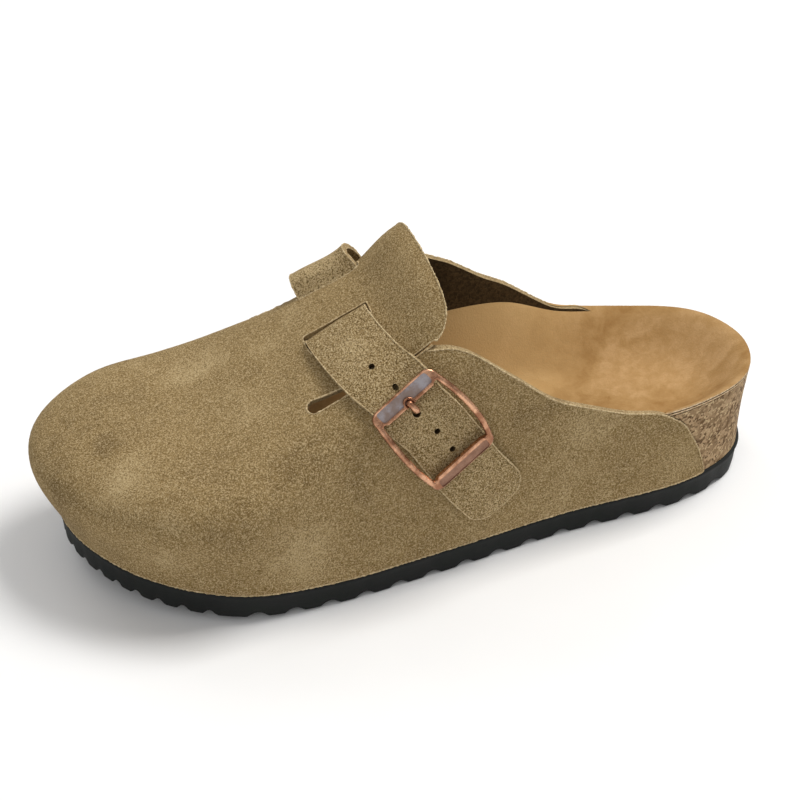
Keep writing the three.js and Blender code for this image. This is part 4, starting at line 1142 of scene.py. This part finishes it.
def fibre_tube(run, radius, rng):
    """Quads of a thin uneven tube along a run of points."""
    length = along_points(run)
    count = max(int(length[-1] / FUZZ_STEP), 4)
    at = np.linspace(0, length[-1], count)
    path = at_lengths(at, length, run)
    for _ in range(2):
        path[1:-1] = (path[:-2] + 2 * path[1:-1] + path[2:]) / 4
    heading = unit(np.gradient(path, axis=0))
    side = np.cross(heading[0], (0.3, 0.5, 0.8))
    sides = []
    for direction in heading:
        side = unit(side - direction * side.dot(direction))
        sides.append(side)
    sides = np.array(sides)
    other = np.cross(heading, sides)
    thick = radius * (1 + FUZZ_UNEVEN * (2 * rng.random(count) - 1))
    thick[[0, -1]] = radius * 0.2
    angle = 2 * np.pi * np.arange(FUZZ_SIDES) / FUZZ_SIDES
    ring = np.cos(angle)[:, None] * sides[:, None] + np.sin(angle)[:, None] * other[:, None]
    points = path[:, None] + thick[:, None, None] * ring
    return points.reshape(-1, 3), ring_quads(count, FUZZ_SIDES)


def make_fuzz(name, item, radius):
    """Pale fibres along the cut edges of a suede piece."""
    rng = np.random.default_rng(7)
    points, faces, total = [], [], 0
    for run in material_borders(item, 0, 1):
        if along_points(run)[-1] < FUZZ_SHORTEST:
            continue
        tube, quads = fibre_tube(run, radius, rng)
        points.append(tube)
        faces.append(quads + total)
        total += len(tube)
    made = make_object(name, np.vstack(points), np.vstack(faces).tolist(), [fuzz])
    fix_normals(made)
    return made


def make_stitches():
    """The row of stitches that holds the strap's end on the inner side."""
    inset = STRAP_WIDTH / 2 - STITCH_INSET
    corner = STRAP_CORNER - STITCH_INSET
    turn = np.linspace(0, np.pi / 2, 12)
    bend = np.column_stack([STRAP_CORNER - corner * np.sin(turn), inset - corner + corner * np.cos(turn)])
    half = np.vstack([[(STITCH_RUN, inset)], bend])
    line = np.vstack([half, half[::-1] * [1, -1]])
    length = along_points(line)
    t = np.linspace(0, 1, STITCH_ROWS)
    arch = np.sqrt(np.maximum(1 - (2 * t - 1) ** 2, 0.02))[:, None]
    angle = 2 * np.pi * np.arange(STITCH_SIDES) / STITCH_SIDES
    points, faces = [], []
    for k in range(int(length[-1] / STITCH_PITCH)):
        at = (k + 0.5) * STITCH_PITCH + (t - 0.5) * STITCH_LENGTH
        along, across = at_lengths(at, length, line).T
        heading = unit(np.column_stack([np.gradient(along), np.gradient(across)]))
        reach = STITCH_RADIUS * arch * np.cos(angle)
        up = STRAP_TOP + STITCH_LIFT + 0.5 * STITCH_RADIUS * arch * (1 + np.sin(angle))
        aside = across[:, None] + heading[:, :1] * reach
        rings = on_strap(along[:, None] - heading[:, 1:] * reach, aside, up)
        faces.append(ring_quads(STITCH_ROWS, STITCH_SIDES) + STITCH_ROWS * STITCH_SIDES * k)
        points.append(rings.reshape(-1, 3))
    item = make_object("strap_stitches", np.vstack(points), np.vstack(faces).tolist(), [thread])
    fix_normals(item)
    return item


# The buckle's own stiff frame: along its middle line, across it and up from the strap's face.
along_bar = along_prong - HOLE_TO_BUCKLE
buckle_reach = (BUCKLE_LENGTH - BUCKLE_BAR) / 2


def under_buckle(across):
    return on_strap(along_bar + buckle_reach * np.arange(3), across, STRAP_TOP)


near_bar, buckle_middle, far_bar = under_buckle(0.0)
buckle_run = (far_bar - near_bar) / 2
buckle_bend = (far_bar + near_bar) / 2 - buckle_middle
buckle_across = (under_buckle(BUCKLE_WIDTH / 2) - under_buckle(-BUCKLE_WIDTH / 2)).sum(axis=0)
buckle_across = unit(buckle_across - buckle_run * buckle_across.dot(buckle_run) / buckle_run.dot(buckle_run))


def on_buckle(along, across, up):
    along, across, up = np.broadcast_arrays(*(np.asarray(v, float) for v in (along, across, up)))
    t = (along / buckle_reach)[..., None]
    tangent = buckle_run + 2 * t * buckle_bend
    outward = unit(np.cross(tangent, buckle_across))
    middle = buckle_middle + buckle_run * t + buckle_bend * t * t
    return middle + buckle_across * across[..., None] + outward * (up[..., None] + BUCKLE_LIFT)


def rounded_loop(reach, half, radius, count):
    """Even points and headings of a rounded rectangle, counterclockwise."""
    arcs = []
    for quarter, (sx, sy) in enumerate(((1, -1), (1, 1), (-1, 1), (-1, -1))):
        angle = np.linspace(-np.pi / 2, 0, 24) + quarter * np.pi / 2
        arcs.append(np.column_stack([sx * (reach - radius) + radius * np.cos(angle),
                                     sy * (half - radius) + radius * np.sin(angle)]))
    loop = np.vstack(arcs + [arcs[0][:1]])
    along = along_points(loop)
    at = along[-1] * np.arange(count) / count
    points = at_lengths(at, along, loop)
    heading = unit(np.roll(points, -1, axis=0) - np.roll(points, 1, axis=0))
    return points, heading


def swept_loop(name, points, heading, wide, thick, square, level, materials, sides=20):
    """A bar swept round a loop on the buckle, from round rod to squared bar."""
    angle = 2 * np.pi * (np.arange(sides) + 0.5) / sides
    power = 1 - 0.72 * square[:, None]
    out = wide[:, None] * np.sign(np.cos(angle)) * np.abs(np.cos(angle)) ** power
    rise = thick[:, None] * np.sign(np.sin(angle)) * np.abs(np.sin(angle)) ** power
    x = points[:, :1] + heading[:, 1:] * out
    y = points[:, 1:] - heading[:, :1] * out
    return rings_object(name, on_buckle(x, y, level + rise), materials, wrap_rings=True)


buckle_half = BUCKLE_WIDTH / 2 - BUCKLE_ROD / 2


PLATE_RIM = 0.8
PLATE_SHIFT = 0.35
PLATE_END = 1.7
PLATE_DEPTH = 0.45
PLATE_CORNER = 0.9
PLATE_POINTS = 64
FRAME_RINGS = 240
NOTCH_RIM = 0.42
NOTCH_BACK = 0.7


def make_buckle_frame():
    points, heading = rounded_loop(buckle_reach, buckle_half, BUCKLE_CORNER, FRAME_RINGS)
    bow = BUCKLE_BOW * np.clip(points[:, 1] / buckle_half, -1, 1)
    bow = bow * np.maximum(1 - (points[:, 0] / buckle_reach) ** 2, 0)
    points = points + np.column_stack([bow * 0, bow])
    barness = smoothstep(np.abs(heading[:, 1]), 0.25, 1)
    wide = (BUCKLE_ROD + (BUCKLE_BAR - BUCKLE_ROD) * barness) / 2
    thick = (BUCKLE_ROD + (BUCKLE_BAR_THICKNESS - BUCKLE_ROD) * barness) / 2
    item = swept_loop("buckle", points, heading, wide, thick, barness, BUCKLE_BAR_THICKNESS / 2, [copper])
    fix_normals(item)
    recess_reach = BUCKLE_BAR / 2 - PLATE_RIM
    recess_half = buckle_half - PLATE_END
    for end, depth, material in ((-1, PLATE_DEPTH, plate), (1, PLATE_DEPTH * 0.7, copper_flat)):
        outline, _ = rounded_loop(recess_reach, recess_half, PLATE_CORNER, PLATE_POINTS)
        rings = [on_buckle(outline[:, 0] + end * (buckle_reach + PLATE_SHIFT), outline[:, 1], up)
                 for up in (BUCKLE_BAR_THICKNESS - depth, BUCKLE_BAR_THICKNESS + 1)]
        carve(item, solid("recess", rings, material))
    carve(item, prong_tube(PRONG_DIAMETER / 2 + GAP, "room"))
    set_sharp(item, 42)
    return item


def make_notch_rim():
    """The raised rim of the notch that the prong's end lies in."""
    radius = PRONG_DIAMETER / 2 + GAP + 0.3
    inner = -buckle_reach + BUCKLE_BAR / 2
    turn = np.linspace(-np.pi / 2, np.pi / 2, 19)
    arc = np.column_stack([inner - NOTCH_BACK - radius * np.cos(turn), radius * np.sin(turn)])
    leg = np.column_stack([np.linspace(inner + 0.1, inner - NOTCH_BACK + 0.1, 8), np.full(8, -radius)])
    path = np.vstack([leg, arc, leg[::-1] * [1, -1]])
    heading = unit(np.gradient(path, axis=0))
    angle = 2 * np.pi * np.arange(12) / 12
    tube = np.full(len(path), NOTCH_RIM)
    tube[[0, -1]] *= 0.6
    out = tube[:, None] * np.cos(angle)
    rise = tube[:, None] * np.sin(angle)
    x = path[:, :1] + heading[:, 1:] * out
    y = path[:, 1:] - heading[:, :1] * out
    rings = on_buckle(x, y, BUCKLE_BAR_THICKNESS - 0.05 + rise)
    return solid("notch_rim", rings, copper)


def prong_tube(radius, name):
    """The prong, from its hole in the strap over the bar's notch, or the room for it."""
    over = BUCKLE_BAR_THICKNESS - PRONG_NOTCH + PRONG_DIAMETER / 2
    extra = radius - PRONG_DIAMETER / 2
    rows = [
        (0, -0.8 * STRAP_THICKNESS - BUCKLE_LIFT - extra),
        (0.1 * HOLE_TO_BUCKLE, -BUCKLE_LIFT),
        (0.3 * HOLE_TO_BUCKLE, 0.8 * over),
        (0.6 * HOLE_TO_BUCKLE, 1.03 * over),
        (HOLE_TO_BUCKLE - 0.15 * BUCKLE_BAR + extra, over),
    ]
    hole = HOLE_TO_BUCKLE - buckle_reach
    path = Spline([(hole - back, up) for back, up in rows])(np.linspace(0, 1, 60))
    heading = unit(np.gradient(path, axis=0))
    along = along_points(path)
    to_end = along[-1] - along
    swell = np.sqrt(np.clip(1 - (1 - np.minimum(to_end / radius, 1)) ** 2, 0.02, 1))
    swell = swell * np.clip(0.5 + along / radius, 0, 1)
    angle = 2 * np.pi * np.arange(24) / 24
    rise = radius * swell[:, None] * np.cos(angle)
    across = radius * swell[:, None] * np.sin(angle)
    rings = on_buckle(path[:, :1] - heading[:, 1:] * rise, across, path[:, 1:] + heading[:, :1] * rise)
    return solid(name, rings, copper)


# The footbed
def footbed_height(rays, share):
    x = rays.cx + rays.ux * rays.reach * share
    inner = 0.5 + 0.5 * rays.uy
    at = share_at(x)
    rim = footbed("rim_out", at) * (1 - inner) + footbed("rim_in", at) * inner
    floor = footbed("floor", at)
    climb = np.clip(share / CUP_REACH, 0, 1)
    cup = climb**CUP_POWER * (CUP_POWER + 1 - CUP_POWER * climb)
    return sole_top(x) + HEEL_RIM_HEIGHT * (floor + (rim - floor) * cup)


def bed_point(rays, share, lift):
    step = 0.02
    rise = footbed_height(rays, share + step) - footbed_height(rays, share - step)
    slope = rise / (2 * step * rays.reach)
    height = footbed_height(rays, share) + lift * np.hypot(1, slope)
    out = rays.reach * share
    return np.stack([rays.cx + rays.ux * out, rays.cy + rays.uy * out, height], axis=-1)


BED = np.concatenate([steps(44)[:-1], [1.0, 1.03, 1.06, 1.09, 1.12, 1.2, 1.3]])


def bed_block(lift, material):
    rings = [bed_point(FINE, share, lift) for share in BED]
    for share in (BED[-1], 0):
        ring = bed_point(FINE, share, 0)
        ring[:, 2] = -OUTSOLE_HEIGHT
        rings.append(ring)
    return solid("bed", rings, material, capped=False)


def last_core(depth, material):
    """The filled last down to the top of the outsole."""
    rings = list(outer_rings(FINE, CORE, depth))
    edge = rings[-1]
    for share in (0.5, 0):
        ring = edge.copy()
        ring[:, 0] = FINE.cx + (edge[:, 0] - FINE.cx) * share
        ring[:, 1] = FINE.cy + (edge[:, 1] - FINE.cy) * share
        ring[:, 2] = sole_top(ring[:, 0]) + GAP
        rings.append(ring)
    return solid("core", rings, material, capped=False)


def upper_room(material):
    """Room that the suede takes up between itself and the footbed."""
    outer = list(outer_rings(FINE, DOME, -3 * WALL))
    inner = list(outer_rings(FINE, DOME, WALL + GAP, creased=True))
    drop = np.array([0, 0, OUTSOLE_HEIGHT / 2])
    rings = outer + [outer[-1] - drop, inner[-1] - drop] + inner[::-1]
    room = solid("room", rings, material, capped=False)
    carve(room, throat_cutter(GAP))
    return room


def make_cork():
    body = last_core(CORK_INSET, cork)
    body.name = "cork_body"
    carve(body, bed_block(0, cork), "INTERSECT")
    carve(body, upper_room(cork))
    set_sharp(body, 40)
    return body


def make_insole():
    liner = last_core(CORK_INSET, jute)
    liner.name = "footbed_liner"
    carve(liner, bed_block(GAP + INSOLE_THICKNESS, footbed_suede), "INTERSECT")
    carve(liner, bed_block(GAP, jute))
    band = last_core(CORK_INSET - GROOVE_DEPTH, jute)
    carve(band, last_core(CORK_INSET + GROOVE_DEPTH, lining))
    carve(band, bed_block(GAP + GROOVE_TOP, lining), "INTERSECT")
    carve(band, bed_block(GAP + GROOVE_BOTTOM, lining))
    carve(liner, band)
    carve(liner, upper_room(footbed_suede))
    set_sharp(liner, 40)
    return liner


# The outsole
def groove_depth(x, y, rays):
    """Depth of the tread's grooves at plan points."""
    first = LUG_PITCH * (math.floor(x_at(0) / LUG_PITCH) - 0.5)
    phase = (first - x) / LUG_PITCH
    offset = (phase - np.round(phase)) * LUG_PITCH
    straight = np.where((x > x_at(TOE_POLE)) & (phase > -0.5), np.cos(np.pi * offset / LUG_NOTCH), 0)
    straight = np.where(np.abs(offset) < LUG_NOTCH / 2, straight, 0)
    pole = Rays(x_at(TOE_POLE), -1, 0)
    pole_x, pole_y, front = pole.cx[0], pole.cy[0], pole.reach[0]
    count = math.floor(np.pi * front / TOE_LUG_PITCH)
    turn = np.arctan2(y - pole_y, x - pole_x) % (2 * np.pi) / np.pi - 0.5
    distance = np.hypot(x - pole_x, y - pole_y)
    nearest = np.clip(np.round(turn * count), 1, count - 1) / count
    aside = (turn - nearest) * np.pi * distance
    fanned = np.where(np.abs(aside) < TOE_LUG_NOTCH / 2, np.cos(np.pi * aside / TOE_LUG_NOTCH), 0)
    fanned = fanned * smoothstep(rays.reach - distance, TOE_LUG_LENGTH, TOE_LUG_LENGTH - 1.5)
    fanned = np.where((x < pole_x) & (turn > 0) & (turn < 1), fanned, 0)
    return LUG_DEPTH * np.maximum(straight, fanned)


TREAD_ROWS = 30
SOLE_ROUND = 0.9
SOLE_HOLLOW = 0.25


def make_outsole():
    rays = rays_round(stations=260, toe=190, heel=96)
    reach = rays.reach + HEEL_LEDGE * np.maximum(rays.ux, 0)

    def ring(out, height_of):
        x = rays.cx + rays.ux * out
        y = rays.cy + rays.uy * out
        return np.stack([x, y, height_of(x, y)], axis=-1)

    def under(x, y):
        return sole_spring(x) + groove_depth(x, y, rays)

    rings = [ring(reach * share, lambda x, y: sole_top(x)) for share in (0, 0.5, 0.9)]
    rows = []
    for t in np.linspace(0, np.pi / 2, 5):
        rows.append((SOLE_ROUND * (1 - math.sin(t)), 1 - SOLE_ROUND * (1 - math.cos(t)) / OUTSOLE_HEIGHT))
    for up in (0.8, 0.66, 0.52, 0.4, 0.3):
        rows.append((OUTSOLE_TAPER * (1 - up) + SOLE_HOLLOW * math.sin(np.pi * up), up))
    for inset, up in rows:
        def side(x, y, up=up):
            low = under(x, y)
            return low + (sole_top(x) - low) * up
        rings.append(ring(reach - inset, side))
    for t in np.linspace(0, np.pi / 2, 5):
        inset = OUTSOLE_TAPER + SOLE_ROUND * (1 - math.cos(t))
        lift = SOLE_ROUND * (1 - math.sin(t))
        rings.append(ring(reach - inset, lambda x, y, lift=lift: under(x, y) + lift))
    for share in np.linspace(0.97, 0, TREAD_ROWS):
        rings.append(ring((reach - OUTSOLE_TAPER) * share, under))
    sole = solid("outsole_foam", rings, foam, capped=False)
    set_sharp(sole, 60)
    return sole


def finish_piece(item, node):
    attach(item, "root")
    if node:
        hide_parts(node)
    return item


finish_piece(make_outsole(), "outsole")
finish_piece(make_cork(), "cork_footbed")
finish_piece(make_insole(), "insole")
upper = finish_piece(make_upper(), "upper")
strap = finish_piece(make_strap(), "strap")
finish_piece(make_fuzz("upper_fuzz", upper, FUZZ_ON_UPPER), None)
finish_piece(make_fuzz("strap_fuzz", strap, FUZZ_ON_STRAP), None)
finish_piece(make_stitches(), None)
finish_piece(make_buckle_frame(), "buckle_frame")
finish_piece(prong_tube(PRONG_DIAMETER / 2, "prong"), "buckle_prong")
finish_piece(make_notch_rim(), None)


# Camera, floor and light
CAMERA_AT = (-243.5, -646.7, 535.0)
CAMERA_RIGHT = (0.9383, -0.3457, 0.0027)
CAMERA_UP = (0.1970, 0.5410, 0.8176)
CAMERA_BACK = (-0.2842, -0.7667, 0.5758)
CAMERA_LENS = 103.69


def add_camera():
    data = bpy.data.cameras.new("camera")
    data.lens = CAMERA_LENS
    data.sensor_width = 36
    data.clip_start = 0.01
    data.clip_end = 50
    camera = bpy.data.objects.new("camera", data)
    bpy.context.scene.collection.objects.link(camera)
    columns = zip(CAMERA_RIGHT, CAMERA_UP, CAMERA_BACK, (v * MM for v in CAMERA_AT))
    camera.matrix_world = Matrix([*columns, (0, 0, 0, 1)])
    bpy.context.scene.camera = camera


# The lights: name, place in m, height in m that they aim at, size in m, power in W, colour.
LIGHTS = [
    ("key", (0.7, 0.0, 1.5), 0.04, 0.7, 21, (1.0, 0.985, 0.96)),
    ("fill", (-0.9, -1.1, 1.0), 0.04, 1.2, 4, (1.0, 1.0, 1.0)),
    ("back", (-0.5, 1.3, 1.3), 0.05, 0.9, 5, (1.0, 1.0, 1.0)),
]


def add_area(name, place, aim_height, size, power, colour):
    data = bpy.data.lights.new(name, "AREA")
    data.shape = "SQUARE"
    data.size = size
    data.energy = power
    data.color = colour
    light = bpy.data.objects.new(name, data)
    bpy.context.scene.collection.objects.link(light)
    back = unit(np.array(place, float) - (0, 0, aim_height))
    right = unit(np.cross((0, 0, 1), back))
    up = np.cross(back, right)
    light.matrix_world = Matrix([*zip(right, up, back, place), (0, 0, 0, 1)])


def add_floor():
    paint = Paint("floor", roughness=0.9, specular=0.2)
    grain = paint.noise(60, detail=3)
    paint.colour(paint.mix(grain, (0.86, 0.86, 0.86), (0.9, 0.9, 0.9)))
    size = 6000
    corners = np.array([(-size, -size, 0), (size, -size, 0), (size, size, 0), (-size, size, 0)], float)
    floor = make_object("floor", corners, [(0, 1, 2, 3)], [paint.material], smooth=False)


def add_world():
    world = bpy.data.worlds.new("studio")
    world.use_nodes = True
    background = world.node_tree.nodes["Background"]
    background.inputs["Color"].default_value = (1.0, 1.0, 1.0, 1)
    background.inputs["Strength"].default_value = 0.45
    bpy.context.scene.world = world


add_camera()
add_floor()
add_world()
for row in LIGHTS:
    add_area(*row)

bpy.context.scene.view_settings.view_transform = "Standard"
